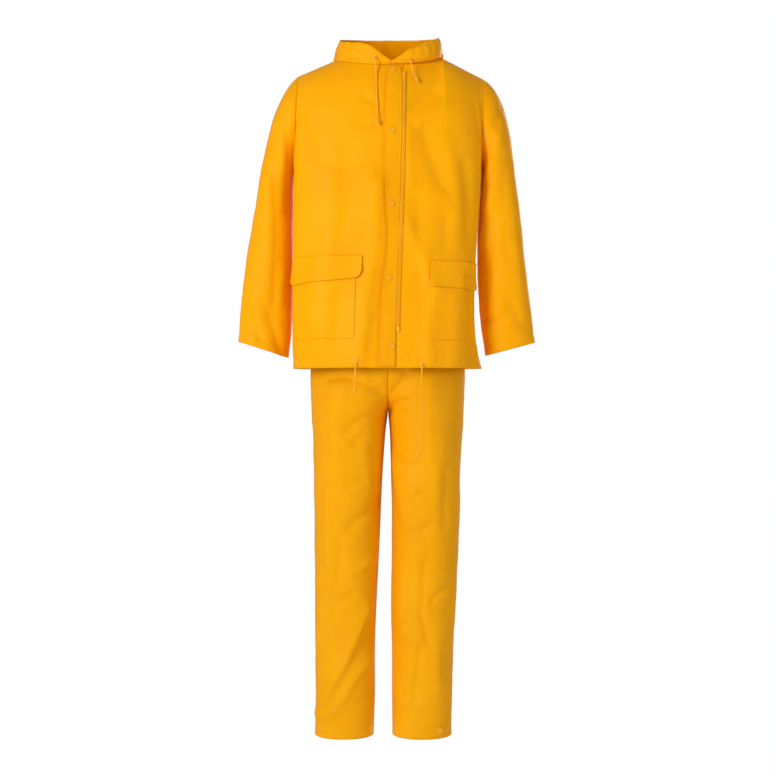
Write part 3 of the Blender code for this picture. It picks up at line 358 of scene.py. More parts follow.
def rounded(angle, power):
    """Sine and cosine of an angle on a rounded rectangle instead of a circle."""
    sine = math.sin(angle)
    cosine = math.cos(angle)
    size = (abs(sine) ** power + abs(cosine) ** power) ** (1 / power)
    return sine / size, cosine / size


def crease_height(creases, x, z):
    """The height of all the creases at a place seen from the front or the back."""
    total = 0.0
    for crease in creases:
        reach = crease.width * 2.6
        nearest = None
        side = 0.0
        for (x0, z0), (x1, z1) in zip(crease.path, crease.path[1:]):
            if z < min(z0, z1) - reach or z > max(z0, z1) + reach or x < min(x0, x1) - reach \
                    or x > max(x0, x1) + reach:
                continue
            run_x = x1 - x0
            run_z = z1 - z0
            along = ((x - x0) * run_x + (z - z0) * run_z) / (run_x ** 2 + run_z ** 2)
            along = min(1.0, max(0.0, along))
            off = math.hypot(x - x0 - along * run_x, z - z0 - along * run_z)
            if nearest is None or off < nearest:
                nearest = off
                side = math.copysign(1.0, run_x * (z - z0) - run_z * (x - x0))
        if nearest is not None:
            width = crease.width * (1 + crease.lean * side)
            total += crease.height * math.exp(-(nearest / width) ** crease.crisp)
    return total


def body_point(z, angle):
    """A point round the jacket below the armpits; angle 0 is the front, positive to the left."""
    row = look_up(BODY, z)
    half = row.left if angle > 0 else row.right
    power = ROUND_FRONT if abs(angle) < math.pi / 2 else ROUND_BACK
    sine, cosine = rounded(angle, power)
    depth = row.widest - row.front if cosine > 0 else row.back - row.widest
    return Vector((half * sine, row.widest - depth * cosine, z))


def angle_at(z, x):
    """The angle on the jacket's front where it has this x."""
    row = look_up(BODY, z)
    ratio = x / (row.left if x > 0 else row.right)
    rest = (1 - abs(ratio) ** ROUND_FRONT) ** (1 / ROUND_FRONT)
    return math.atan2(ratio, rest)


def neck_point(angle):
    """A point on the neck seam; angle 0 is the front and positive is to the wearer's left."""
    sine = math.sin(angle)
    cosine = math.cos(angle)
    side_z = NECK_SIDE_Z + NECK_TILT * sine
    if cosine > 0:
        return Vector((NECK_WIDTH * sine, NECK_Y - NECK_FRONT * cosine, mix(side_z, NECK_FRONT_Z, cosine ** 1.3)))
    return Vector((NECK_WIDTH * sine, NECK_Y - NECK_BACK * cosine, mix(side_z, NECK_BACK_Z, -cosine)))


def shoulder_point(side):
    return SHOULDER_LEFT if side > 0 else SHOULDER_RIGHT


def armhole_point(side, way, share):
    """The armhole from the armpit (0) to the shoulder (1); way is -1 in front and 1 behind."""
    ways = [Vector((side * out, way * forward, rise)) for out, forward, rise in (ARMHOLE_LEAVE, ARMHOLE_ARRIVE)]
    return hermite(body_point(ARMPIT_Z, side * SIDE_SEAM), shoulder_point(side), *ways, share)


def upper_point(base, top, side, way, flat, outness, share):
    """A point above the armpits, on a curve from the ring there to the neck or shoulder seam."""
    reach = (top - base).length
    leave = Vector((0.0, 0.0, reach))
    level = mix(NECK_ARRIVE[0], SHOULDER_ARRIVE[0], flat)
    upward = mix(NECK_ARRIVE[1], SHOULDER_ARRIVE[1], flat)
    point = hermite(base, top, leave, Vector((0.0, -way * level, upward)) * reach * SEAM_PULL, share)
    start = body_point(ARMPIT_Z, side * SIDE_SEAM)
    at_shoulder = Vector((0.0, -way * SHOULDER_ARRIVE[0], SHOULDER_ARRIVE[1])) * reach * SEAM_PULL
    plain = hermite(start, shoulder_point(side), leave, at_shoulder, share)
    hold = max(0.0, (outness - HOLD_START) / (1 - HOLD_START)) ** 2
    return point + (armhole_point(side, way, share) - plain) * hold


def front_point(side, across, up):
    """A point of a front: across runs from the zip to the side, up from the hem to the top."""
    z = mix(HEM_Z, ARMPIT_Z, min(1.0, up / LOWER_SHARE))
    knee = side * NECK_COLUMN_ANGLE
    outness = max(0.0, (across - NECK_SHARE) / (1 - NECK_SHARE))
    if across < NECK_SHARE:
        angle = mix(angle_at(z, look_up(CLOSURE, z).zip), knee, across / NECK_SHARE)
    else:
        angle = mix(knee, side * SIDE_SEAM, outness)
    base = body_point(z, angle)
    if up <= LOWER_SHARE:
        return base
    start_angle = math.asin(CLOSURE[0].zip / NECK_WIDTH)
    part = across / NECK_SHARE
    if across >= NECK_SHARE:
        top = neck_point(side * math.pi / 2).lerp(shoulder_point(side), outness)
    elif side > 0:
        top = neck_point(mix(start_angle, math.pi / 2, part))
    elif part < 0.2:
        top = neck_point(mix(start_angle, HOOD_CLOSE_ANGLE, part / 0.2))
    else:
        top = neck_point(mix(HOOD_CLOSE_ANGLE, -math.pi / 2, (part - 0.2) / 0.8))
    return upper_point(base, top, side, -1, min(1.0, part) ** 2, outness,
                       (up - LOWER_SHARE) / (1 - LOWER_SHARE))


def back_point(across, up):
    """A point of the back: across runs from the right side seam to the left one."""
    z = mix(HEM_Z, ARMPIT_Z, min(1.0, up / LOWER_SHARE))
    side = 1 if across > 0.5 else -1
    inward = min(across, 1 - across)
    knee = math.pi - NECK_COLUMN_ANGLE
    if inward < BACK_EDGE_SHARE:
        outness = 1 - inward / BACK_EDGE_SHARE
        flat = 1.0
        angle = mix(knee, SIDE_SEAM, outness)
        top = neck_point(side * math.pi / 2).lerp(shoulder_point(side), outness)
    else:
        outness = 0.0
        part = (inward - BACK_EDGE_SHARE) / (0.5 - BACK_EDGE_SHARE)
        flat = (1 - part) ** 2
        angle = mix(knee, math.pi, part)
        top = neck_point(side * mix(math.pi / 2, math.pi, part))
    base = body_point(z, side * angle)
    if up <= LOWER_SHARE:
        return base
    return upper_point(base, top, side, 1, flat, outness, (up - LOWER_SHARE) / (1 - LOWER_SHARE))


def ease(share):
    share = min(1.0, max(0.0, share))
    return share * share * (3 - 2 * share)


def lay_sheet(name, point, grid, size, away, height, sewn, dip=SEAM_DIP):
    """A cloth sheet: its points, then creases along its own normals, calm and dipped at sewn edges.

    Size is its rough width and length, for the edges and the weave. Sewn says which of its edges are
    seams: across 0, across 1, up 0 and up 1. Dip is how far they draw the cloth in. It gives back the
    mesh and its rows of points.
    """
    columns, rows = grid
    sheet = bmesh.new()
    sheet.loops.layers.uv.new("weave")
    bmesh.ops.create_grid(sheet, x_segments=columns, y_segments=rows, size=0.5, calc_uvs=True)
    places = {}
    for vert in sheet.verts:
        across = vert.co.x + 0.5
        up = vert.co.y + 0.5
        places[vert] = (across, up)
        vert.co = point(across, up)
    weave = sheet.loops.layers.uv.active
    for face in sheet.faces:
        for loop in face.loops:
            loop[weave].uv.x *= size[0]
            loop[weave].uv.y *= size[1]
    sheet.normal_update()
    total = sum(face.normal.dot(face.calc_center_median() - away(face.calc_center_median()))
                for face in sheet.faces)
    if total < 0:
        bmesh.ops.reverse_faces(sheet, faces=sheet.faces[:])
    sheet.normal_update()
    moves = {}
    for vert, (across, up) in places.items():
        edges = [off for off, sews in zip((across * size[0], (1 - across) * size[0], up * size[1],
                                           (1 - up) * size[1]), sewn) if sews]
        near = min(edges, default=1.0)
        rise = height(vert.co, vert.normal, across, up) * ease(near / SEAM_CALM)
        rise -= dip * math.exp(-(near / SEAM_REACH) ** 2)
        moves[vert] = vert.normal * rise
    for vert, move in moves.items():
        vert.co += move
    lines = [[None] * (columns + 1) for _ in range(rows + 1)]
    for vert, (across, up) in places.items():
        lines[round(up * rows)][round(across * columns)] = vert.co.copy()
    mesh = bpy.data.meshes.new(name)
    sheet.to_mesh(mesh)
    sheet.free()
    mesh.shade_smooth()
    return mesh, lines


def hang_cloth(name, mesh, material, wall=WALL):
    """Makes the sheet an object with the cloth's thickness, on its inner side."""
    mesh.materials.append(material)
    item = bpy.data.objects.new(name, mesh)
    bpy.context.collection.objects.link(item)
    shell = item.modifiers.new("cloth", "SOLIDIFY")
    shell.thickness = wall
    shell.offset = -1
    return item


def wrinkle(place, small=1.0):
    """Slight unevenness of light cloth: long swells with finer crinkles on them."""
    return (0.0016 * noise.noise(place * 7.0) + 0.0009 * small * noise.noise(place * 19.0)
            + 0.0004 * small * noise.noise(place * 46.0))


def stitched_fold(off, width):
    """The step of a turned-up hem: off is how far in from the edge, width the hem's own."""
    return 0.0006 * ease((width - off) / 0.004) - 0.0009 * math.exp(-((off - width) / 0.0022) ** 2)


def jacket_height(place, normal, across, up):
    """Creases, unevenness and the hem tunnel of the jacket's body."""
    creases = JACKET_CREASES_FRONT if normal.y < 0 else JACKET_CREASES_BACK
    facing = ease(abs(normal.y) / 0.5)
    rise = crease_height(creases, place.x, place.z) * facing + wrinkle(place)
    off = up / LOWER_SHARE * (ARMPIT_Z - HEM_Z)
    pucker = 0.0006 * math.sin(place.x * 330 + 4 * noise.noise(place * 20)) * ease(1 - abs(off - HEM_TUNNEL) / 0.02)
    return rise + stitched_fold(off, HEM_TUNNEL) + pucker


def middle_line(point):
    return Vector((0.0, 0.0, point.z))


def cloth_material(name, colour, shade, roughness, crumple):
    """A light polyester weave under a satin coat: bright, hardly any gloss, a little crumpled."""
    material, tree, shader = new_material(name)
    coords = add_node(tree, "ShaderNodeTexCoord")
    drift = add_node(tree, "ShaderNodeTexNoise", {"Scale": 1 / DRIFT_SIZE, "Detail": 3.0},
                     {"Vector": coords.outputs["Object"]})
    spread = add_node(tree, "ShaderNodeMapRange", {"From Min": 0.35, "From Max": 0.65},
                      {"Value": drift.outputs["Fac"]})
    tones = add_node(tree, "ShaderNodeMix", None, {"Factor": spread.outputs["Result"]}, data_type="RGBA")
    tones.inputs["A"].default_value = linear(shade)
    tones.inputs["B"].default_value = linear(colour)
    crinkle = add_node(tree, "ShaderNodeTexNoise", {"Scale": 1 / CRINKLE_SIZE, "Detail": 4.0, "Distortion": 0.6},
                       {"Vector": coords.outputs["Object"]})
    threads = []
    for axis in ("X", "Y"):
        threads.append(add_node(tree, "ShaderNodeTexWave", {"Scale": WAVE_TURN / THREAD_PITCH, "Distortion": 0.4},
                                {"Vector": coords.outputs["UV"]}, bands_direction=axis))
    weave = add_node(tree, "ShaderNodeMath", None, {0: threads[0].outputs["Fac"], 1: threads[1].outputs["Fac"]},
                     operation="MULTIPLY")
    folds = add_node(tree, "ShaderNodeBump", {"Strength": crumple, "Distance": 0.004},
                     {"Height": crinkle.outputs["Fac"]})
    cloth = add_node(tree, "ShaderNodeBump", {"Strength": 0.12, "Distance": 0.0003},
                     {"Height": weave.outputs["Value"], "Normal": folds.outputs["Normal"]})
    satin = add_node(tree, "ShaderNodeMapRange", {"To Min": roughness - 0.06, "To Max": roughness + 0.08},
                     {"Value": crinkle.outputs["Fac"]})
    tree.links.new(tones.outputs["Result"], shader.inputs["Base Color"])
    tree.links.new(satin.outputs["Result"], shader.inputs["Roughness"])
    tree.links.new(cloth.outputs["Normal"], shader.inputs["Normal"])
    shader.inputs["Specular IOR Level"].default_value = 0.07
    return material


# The threads are drawn 1.2 mm apart, three times as coarse as the real ones, so that they show.
# A wave texture's scale of 1 has a band every 0.314 of a unit.
DRIFT_SIZE = 0.11
CRINKLE_SIZE = 0.035
THREAD_PITCH = 0.0012
WAVE_TURN = 0.314
jacket_cloth = cloth_material("coated polyester rain cloth", JACKET_COLOUR, JACKET_SHADE, 0.5, 0.35)

FRONT_SIZE = (0.345, 0.720)
BACK_SIZE = (0.620, 0.740)
front_lines = {}
for side, word in ((-1, "right"), (1, "left")):
    mesh, front_lines[side] = lay_sheet("front_" + word, lambda u, v, s=side: front_point(s, u, v), FRONT_GRID,
                                        FRONT_SIZE, middle_line, jacket_height, (False, True, False, True))
    piece = hang_cloth(f"front_{word}_cloth", mesh, jacket_cloth)
    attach(piece, "root")
    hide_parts("front_" + word)
mesh, back_lines = lay_sheet("back", back_point, BACK_GRID, BACK_SIZE, middle_line, jacket_height,
                             (True, True, False, True))
piece = hang_cloth("back_cloth", mesh, jacket_cloth)
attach(piece, "root")
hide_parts("back")


# Sleeves
# Each is cut in one piece with its seam under the arm, and is set into the armhole. The cuffs are
# plain, turned in and sewn once round.
SLEEVE_GRID = (96, 117)
SLEEVE_SIZE = (0.440, 0.640)
CAP_SHARE = 5 / 13
CUFF_HEM = 0.020
ROUND_SLEEVE = 2.2
CAP_OUT = 0.60
CAP_TOP_OUT = {-1: 0.66, 1: 0.80}
CAP_FORWARD = 0.20
CAP_DOWN = (0.90, 0.45)
CAP_ARRIVE_OUT = 0.14
Sleeve = namedtuple("Sleeve", "z outer inner front back drop")
SLEEVES = {
    -1: (
        Sleeve(-0.300, 0.2995, 0.2170, -0.055, 0.076, 0.000),
        Sleeve(-0.350, 0.3080, 0.2165, -0.057, 0.077, 0.000),
        Sleeve(-0.435, 0.3220, 0.2170, -0.056, 0.075, 0.000),
        Sleeve(-0.520, 0.3335, 0.2190, -0.052, 0.070, 0.012),
        Sleeve(-0.600, 0.3410, 0.2215, -0.047, 0.063, 0.027),
        Sleeve(-0.664, 0.3450, 0.2290, -0.044, 0.058, 0.037),
    ),
    1: (
        Sleeve(-0.300, 0.2975, 0.2130, -0.055, 0.076, 0.000),
        Sleeve(-0.350, 0.3040, 0.2090, -0.057, 0.077, 0.000),
        Sleeve(-0.435, 0.3130, 0.2060, -0.056, 0.075, 0.000),
        Sleeve(-0.520, 0.3225, 0.2085, -0.052, 0.070, 0.010),
        Sleeve(-0.600, 0.3320, 0.2150, -0.047, 0.063, 0.022),
        Sleeve(-0.663, 0.3380, 0.2250, -0.044, 0.058, 0.030),
    ),
}
SLEEVE_CREASES = {
    -1: (
        Crease(((-0.269, -0.200), (-0.259, -0.284), (-0.252, -0.376), (-0.257, -0.580)), 0.014, -0.0045, 0.2, 1.8),
        Crease(((-0.232, -0.140), (-0.226, -0.230), (-0.230, -0.350)), 0.010, -0.0025, 0.3, 1.7),
        Crease(((-0.285, -0.420), (-0.300, -0.520)), 0.015, -0.0035, 0.0, 1.8),
        Crease(((-0.318, -0.590), (-0.306, -0.615), (-0.292, -0.640)), 0.012, -0.0060, 0.2, 1.7),
        Crease(((-0.272, -0.575), (-0.256, -0.630), (-0.236, -0.685)), 0.014, -0.0065, -0.2, 1.7),
        Crease(((-0.290, -0.230), (-0.282, -0.300)), 0.016, 0.0035, 0.0, 1.9),
        Crease(((-0.240, -0.480), (-0.246, -0.560)), 0.012, 0.0040, 0.0, 1.8),
        Crease(((-0.330, -0.570), (-0.334, -0.640)), 0.010, -0.0040, 0.0, 1.7),
    ),
    1: (
        Crease(((0.250, -0.185), (0.230, -0.254), (0.216, -0.340)), 0.012, 0.0065, 0.2, 1.6),
        Crease(((0.236, -0.300), (0.222, -0.365), (0.211, -0.430)), 0.010, 0.0055, 0.2, 1.6),
        Crease(((0.240, -0.370), (0.227, -0.490), (0.217, -0.590)), 0.012, -0.0050, -0.1, 1.7),
        Crease(((0.264, -0.110), (0.246, -0.150)), 0.012, -0.0040, 0.0, 1.8),
        Crease(((0.268, -0.250), (0.262, -0.340), (0.268, -0.440)), 0.018, -0.0045, 0.2, 1.9),
        Crease(((0.218, -0.596), (0.240, -0.600), (0.262, -0.598)), 0.009, -0.0050, 0.0, 1.6),
        Crease(((0.280, -0.560), (0.300, -0.600), (0.316, -0.612)), 0.014, -0.0045, 0.0, 1.8),
        Crease(((0.292, -0.430), (0.304, -0.530)), 0.014, 0.0035, 0.0, 1.8),
    ),
}
SLEEVE_CREASES_BACK = (
    Crease(((0.262, -0.160), (0.250, -0.260), (0.240, -0.360)), 0.015, -0.0060, 0.2, 1.8),
    Crease(((0.268, -0.380), (0.274, -0.500), (0.280, -0.600)), 0.016, 0.0055, 0.0, 1.8),
    Crease(((0.240, -0.420), (0.262, -0.452), (0.290, -0.460)), 0.012, -0.0045, 0.0, 1.7),
    Crease(((0.248, -0.560), (0.254, -0.640)), 0.012, -0.0050, 0.0, 1.8),
)


def sleeve_ring(side, z, turn):
    """A point round a sleeve: turn 0 is next to the body, a quarter on is the front."""
    row = look_up(SLEEVES[side], z)
    sine, cosine = rounded(turn, ROUND_SLEEVE)
    half = (row.outer - row.inner) / 2
    x = side * ((row.outer + row.inner) / 2 - half * cosine)
    y = (row.front + row.back) / 2 - (row.back - row.front) / 2 * sine
    return Vector((x, y, z - row.drop * cosine / 2))


def sleeve_point(side, round_share, up):
    """A point of a sleeve: round_share goes from the underarm by the front and back, up from the cuff."""
    turn = round_share * 2 * math.pi
    table = SLEEVES[side]
    down = 1 - up
    if down > CAP_SHARE:
        share = (down - CAP_SHARE) / (1 - CAP_SHARE)
        return sleeve_ring(side, mix(table[0].z, table[-1].z, share), turn)
    if round_share < 0.5:
        top = armhole_point(side, -1, round_share * 2)
    else:
        top = armhole_point(side, 1, 2 - round_share * 2)
    base = sleeve_ring(side, table[0].z, turn)
    reach = (base - top).length
    height = (1 - math.cos(turn)) / 2
    out = mix(CAP_OUT, CAP_TOP_OUT[side], height ** 0.6)
    way = Vector((side * out, -math.sin(turn) * CAP_FORWARD, -mix(*CAP_DOWN, height)))
    arrive = Vector((side * CAP_ARRIVE_OUT, 0.0, -SEAM_PULL)) * reach
    return hermite(top, base, way * reach * SEAM_PULL, arrive, down / CAP_SHARE)


def sleeve_height(place, normal, across, up):
    """Creases, unevenness and the sewn cuff of a sleeve."""
    side = 1 if place.x > 0 else -1
    if normal.y < 0:
        rise = crease_height(SLEEVE_CREASES[side], place.x, place.z)
    else:
        rise = crease_height(SLEEVE_CREASES_BACK, abs(place.x), place.z)
    rise *= ease(abs(normal.y) / 0.45)
    off = up * SLEEVE_SIZE[1]
    return rise + wrinkle(place, 1.2) + stitched_fold(off, CUFF_HEM)


def sleeve_line(side):
    return lambda point: Vector((side * 0.265, 0.010, point.z - 0.05))


for side, word in ((-1, "right"), (1, "left")):
    mesh, _ = lay_sheet("sleeve_" + word, lambda u, v, s=side: sleeve_point(s, u, v), SLEEVE_GRID, SLEEVE_SIZE,
                        sleeve_line(side), sleeve_height, (True, True, False, True))
    piece = hang_cloth(f"sleeve_{word}_cloth", mesh, jacket_cloth)
    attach(piece, "root")
    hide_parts("sleeve_" + word)


# Hood
# One piece sewn into the neck seam, folded down behind as an open pouch. Its rim is a tunnel that
# the cord gathers into small pleats beside the eyelets.
HOOD_GRID = (240, 70)
HOOD_SIZE = (0.720, 0.200)
HOOD_COLUMNS = (4, 10, 5, 1)
RIM_TUNNEL = 0.014
Hood = namedtuple("Hood", "angle out1 up1 out2 up2 out3 up3 out4 up4")
HOOD = (
    Hood(-180, 0.036, -0.046, 0.070, -0.108, 0.096, -0.036, 0.050, 0.063),
    Hood(-160, 0.033, -0.037, 0.066, -0.094, 0.091, -0.028, 0.046, 0.061),
    Hood(-137, 0.020, -0.008, 0.044, -0.040, 0.056, 0.000, 0.024, 0.055),
    Hood(-110, 0.002, 0.008, 0.006, 0.015, 0.005, 0.028, -0.005, 0.048),
    Hood(-90, -0.004, 0.012, -0.006, 0.024, -0.007, 0.035, -0.011, 0.044),
    Hood(-45, 0.002, 0.011, 0.003, 0.024, 0.001, 0.036, -0.004, 0.046),
    Hood(-20, 0.003, 0.011, 0.004, 0.022, 0.004, 0.033, 0.001, 0.042),
    Hood(0, 0.003, 0.004, 0.004, 0.007, 0.004, 0.010, 0.002, 0.013),
    Hood(4, 0.003, 0.003, 0.004, 0.006, 0.004, 0.008, 0.002, 0.010),
    Hood(20, 0.008, 0.002, 0.011, 0.010, 0.009, 0.019, 0.003, 0.027),
    Hood(45, 0.010, 0.002, 0.014, 0.013, 0.011, 0.029, 0.001, 0.044),
    Hood(90, 0.001, 0.010, 0.001, 0.022, -0.001, 0.035, -0.007, 0.046),
    Hood(110, 0.006, 0.005, 0.014, 0.010, 0.009, 0.026, -0.002, 0.048),
    Hood(137, 0.023, -0.008, 0.050, -0.040, 0.058, 0.000, 0.024, 0.055),
    Hood(160, 0.033, -0.037, 0.066, -0.094, 0.091, -0.028, 0.046, 0.061),
    Hood(180, 0.036, -0.046, 0.070, -0.108, 0.096, -0.036, 0.050, 0.063),
)


HOOD_CREASES = (
    Crease(((-0.086, 0.0165), (-0.067, 0.0127), (-0.054, 0.0080)), 0.0045, -0.0024, 0.0, 1.6),
    Crease(((-0.067, 0.0062), (-0.054, -0.0030), (-0.037, -0.0106)), 0.0045, -0.0026, 0.0, 1.6),
    Crease(((-0.100, -0.0068), (-0.086, -0.0115), (-0.065, -0.0151)), 0.0045, -0.0022, 0.0, 1.6),
    Crease(((0.019, -0.0142), (0.048, -0.0142), (0.082, -0.0170), (0.104, -0.0170), (0.116, -0.0068)),
           0.0050, -0.0034, 0.0, 1.6),
    Crease(((0.034, 0.0040), (0.060, 0.0120), (0.090, 0.0160)), 0.0080, 0.0022, 0.0, 1.8),
    Crease(((0.063, 0.0170), (0.083, 0.0240)), 0.0045, -0.0020, 0.0, 1.6),
)


def hood_angle(share):
    """The neck angle of a hood column: its ends meet just right of the zip."""
    right, back, left, last = HOOD_COLUMNS
    step = share * sum(HOOD_COLUMNS)
    start_angle = math.asin(CLOSURE[0].zip / NECK_WIDTH)
    if step <= right:
        return mix(HOOD_CLOSE_ANGLE, -math.pi / 2, step / right)
    if step <= right + back:
        return mix(-math.pi / 2, -3 * math.pi / 2, (step - right) / back)
    if step <= right + back + left:
        return mix(-3 * math.pi / 2, start_angle - 2 * math.pi, (step - right - back) / left)
    return mix(start_angle, HOOD_CLOSE_ANGLE, (step - right - back - left) / last) - 2 * math.pi


def hood_point(share, up):
    """A point of the hood: share goes round the neck, up from the neck seam to the rim."""
    angle = hood_angle(share)
    degrees = (math.degrees(angle) + 180) % 360 - 180
    row = look_up(HOOD, degrees)
    outs = (0.0, row.out1, row.out2, row.out3, row.out4)
    ups = (0.0, row.up1, row.up2, row.up3, row.up4)
    step = min(3, int(up * 4))
    part = up * 4 - step
    before = max(step - 1, 0)
    after = min(step + 2, 4)
    ways = []
    for values in (outs, ups):
        ways.append(hermite(values[step], values[step + 1], (values[step + 1] - values[before]) / 2,
                            (values[after] - values[step]) / 2, part))
    outward = Vector((math.sin(angle), -math.cos(angle), 0.0))
    return neck_point(angle) + outward * ways[0] + Vector((0.0, 0.0, ways[1]))


def hood_height(place, normal, across, up):
    """Gathers that fan out from the rim, strongest at the front, and the rim's sewn tunnel."""
    front = ease((0.06 - place.y) / 0.10)
    turn = across * 2 * math.pi * 27
    pleats = math.sin(turn + 2.2 * noise.noise(place * 25)) * mix(0.0005, 0.0008, front)
    pleats *= ease((up - 0.25) / 0.6)
    folds = crease_height(HOOD_CREASES, place.x, place.z) if normal.y < -0.3 and place.y < 0 else 0.0
    depth = (1 - up) * 0.055
    return pleats + folds + wrinkle(place) * 0.8 + stitched_fold(depth, RIM_TUNNEL) * ease(up * 2) * 0.6


mesh, hood_lines = lay_sheet("hood", hood_point, HOOD_GRID, HOOD_SIZE, middle_line, hood_height,
                             (False, False, True, False))
piece = hang_cloth("hood_cloth", mesh, jacket_cloth)
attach(piece, "root")
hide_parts("hood")


# Storm flap
# A double strip of the same cloth, sewn beside the zip on the wearer's left and lapped over to the
# right, where five snaps hold it down. Between the snaps its free edge stands off.
FLAP_GRID = (14, 144)
FLAP_LENGTH = 0.690
FLAP_TOP = 0.985
FLAP_BOTTOM = 0.004
FLAP_ROOT_GAP = 0.0035
FLAP_LAY = 0.0012
FLAP_WALL = 0.0012


def on_front(side, up, x):
    """The point of a front's sheet at this x and share of its height."""
    lines = front_lines[side]
    row = min(len(lines) - 2, max(0, int(up * (len(lines) - 1))))
    part = min(1.0, max(0.0, up * (len(lines) - 1) - row))
    before = first = lines[row][0].lerp(lines[row + 1][0], part)
    for low, high in zip(lines[row][1:], lines[row + 1][1:]):
        here = low.lerp(high, part)
        if (x - before.x) * (x - here.x) <= 0:
            return before.lerp(here, (x - before.x) / (here.x - before.x))
        before = here
    return first


def front_outward(side, up, x):
    """The outward direction of a front near this place, over about the width of a finger."""
    step = 0.008
    beside = on_front(side, up, x + step) - on_front(side, up, x - step)
    above = on_front(side, min(1.0, up + step), x) - on_front(side, max(0.0, up - step), x)
    normal = beside.cross(above).normalized()
    return -normal if normal.y > 0 else normal


def flap_point(across, up):
    """A point of the flap: across from its free edge to its root by the zip."""
    share = mix(FLAP_BOTTOM, FLAP_TOP, up)
    z = on_front(-1, share, 0.0).z
    row = look_up(CLOSURE, z)
    corner = max(0.0, 1 - (1 - up) * 12)
    x = mix(row.free, row.zip - FLAP_ROOT_GAP, mix(across, 0.5, corner * 0.3))
    lift = FLAP_LAY + FLAP_WALL + row.lift * (1 - across) ** 2 + 0.0012 * math.sin(across * math.pi)
    return on_front(-1, share, x) + front_outward(-1, share, x) * lift


def flap_height(place, normal, across, up):
    """The seam's dip along both long edges and small puckers."""
    from_edge = across * 0.036
    dip = -0.0007 * math.exp(-((from_edge - 0.005) / 0.0016) ** 2)
    dip -= 0.0007 * math.exp(-((from_edge - 0.032) / 0.0016) ** 2)
    pucker = 0.0005 * noise.noise(Vector((place.x * 30, place.z * 40, 0.0)))
    return dip + pucker


def flap_away(point):
    return Vector((0.0, 0.0, point.z))


mesh, flap_lines = lay_sheet("storm_flap", flap_point, FLAP_GRID, (0.036, FLAP_LENGTH), flap_away, flap_height,
                             (False, False, False, False))
piece = hang_cloth("storm_flap_cloth", mesh, jacket_cloth, FLAP_WALL)
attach(piece, "root")
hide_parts("storm_flap")


# Zip
# A moulded chain shows as a thin light line beside the flap's root: two rows of teeth on a narrow
# tape, with a box at its lower end.
ZIP_TOP = 0.955
ZIP_BOTTOM = 0.112
TAPE_WIDTH = 0.0110
TOOTH_PITCH = 0.0025
TOOTH = (0.0030, 0.0011, 0.0013)
ZIP_BOX = (0.0070, 0.0028, 0.0100)
ZIP_COLOUR = "#fbb62c"


def zip_point(across, up):
    """A point of the zip's tape, over the line where the fronts meet."""
    share = mix(ZIP_BOTTOM, ZIP_TOP, up)
    seam = front_lines[-1][round(share * FRONT_GRID[1])][0]
    seam = on_front(-1, share, seam.x)
    side = 1 if across > 0.5 else -1
    point = on_front(side, share, seam.x + (across - 0.5) * TAPE_WIDTH) if across != 0.5 else seam
    return point + front_outward(-1, share, seam.x - 0.02) * 0.0016


# Polyacetal, moulded: smooth and slightly waxy
acetal, tree, shader = new_material("moulded acetal zip")
coords = add_node(tree, "ShaderNodeTexCoord")
specks = add_node(tree, "ShaderNodeTexNoise", {"Scale": 900.0}, {"Vector": coords.outputs["Object"]})
waxy = add_node(tree, "ShaderNodeMapRange", {"To Min": 0.34, "To Max": 0.46}, {"Value": specks.outputs["Fac"]})
tree.links.new(waxy.outputs["Result"], shader.inputs["Roughness"])
shader.inputs["Base Color"].default_value = linear(ZIP_COLOUR)
shader.inputs["Specular IOR Level"].default_value = 0.3
shader.inputs["IOR"].default_value = 1.48


def solid_object(name, shape, material, smooth_angle=40):
    """Makes a joined shape an object with faces outward and sharp edges kept."""
    bmesh.ops.recalc_face_normals(shape, faces=shape.faces[:])
    mesh = bpy.data.meshes.new(name)
    shape.to_mesh(mesh)
    shape.free()
    mesh.shade_smooth()
    mesh.set_sharp_from_angle(angle=math.radians(smooth_angle))
    mesh.materials.append(material)
    item = bpy.data.objects.new(name, mesh)
    bpy.context.collection.objects.link(item)
    return item


def aim(point, normal, along):
    """A matrix that puts a shape at a point, its Z along the normal and its X along a direction."""
    z_way = normal.normalized()
    x_way = (along - z_way * along.dot(z_way)).normalized()
    y_way = z_way.cross(x_way)
    turn = Matrix((x_way, y_way, z_way)).transposed()
    return Matrix.Translation(point) @ turn.to_4x4()


mesh, zip_lines = lay_sheet("zip_tape", zip_point, (4, 120), (TAPE_WIDTH, 0.58), flap_away,
                            lambda place, normal, across, up: 0.0, (False, False, False, False))
tape = hang_cloth("zip_tape_strip", mesh, jacket_cloth, 0.0008)
teeth = bmesh.new()
chain = [(line[2], (line[3] - line[1])) for line in zip_lines]
length = sum((after[0] - before[0]).length for before, after in zip(chain, chain[1:]))
count = round(length / TOOTH_PITCH)
for number in range(count):
    place = number / count * (len(chain) - 1)
    step = int(place)
    point = chain[step][0].lerp(chain[step + 1][0], place - step)
    along = chain[step + 1][0] - chain[step][0]
    beside = chain[step][1]
    normal = beside.cross(along)
    if normal.y > 0:
        normal.negate()
    for side in (-1, 1):
        shift = beside.normalized() * side * 0.0009 + along.normalized() * side * TOOTH_PITCH / 4
        made = bmesh.ops.create_cube(teeth, size=1.0)["verts"]
        bmesh.ops.scale(teeth, vec=TOOTH, verts=made)
        bmesh.ops.transform(teeth, matrix=aim(point + shift + normal.normalized() * 0.0007, normal, beside),
                            verts=made)
bmesh.ops.bevel(teeth, geom=teeth.edges[:], offset=0.0002, segments=1, profile=0.5, affect="EDGES", material=-1)
teeth_piece = solid_object("zip_teeth", teeth, acetal)
box = bmesh.new()
bmesh.ops.create_cube(box, size=1.0)
bmesh.ops.scale(box, vec=ZIP_BOX, verts=box.verts[:])
bmesh.ops.bevel(box, geom=box.edges[:], offset=0.0007, segments=3, profile=0.5, affect="EDGES", material=-1)
low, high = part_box("zip_box")
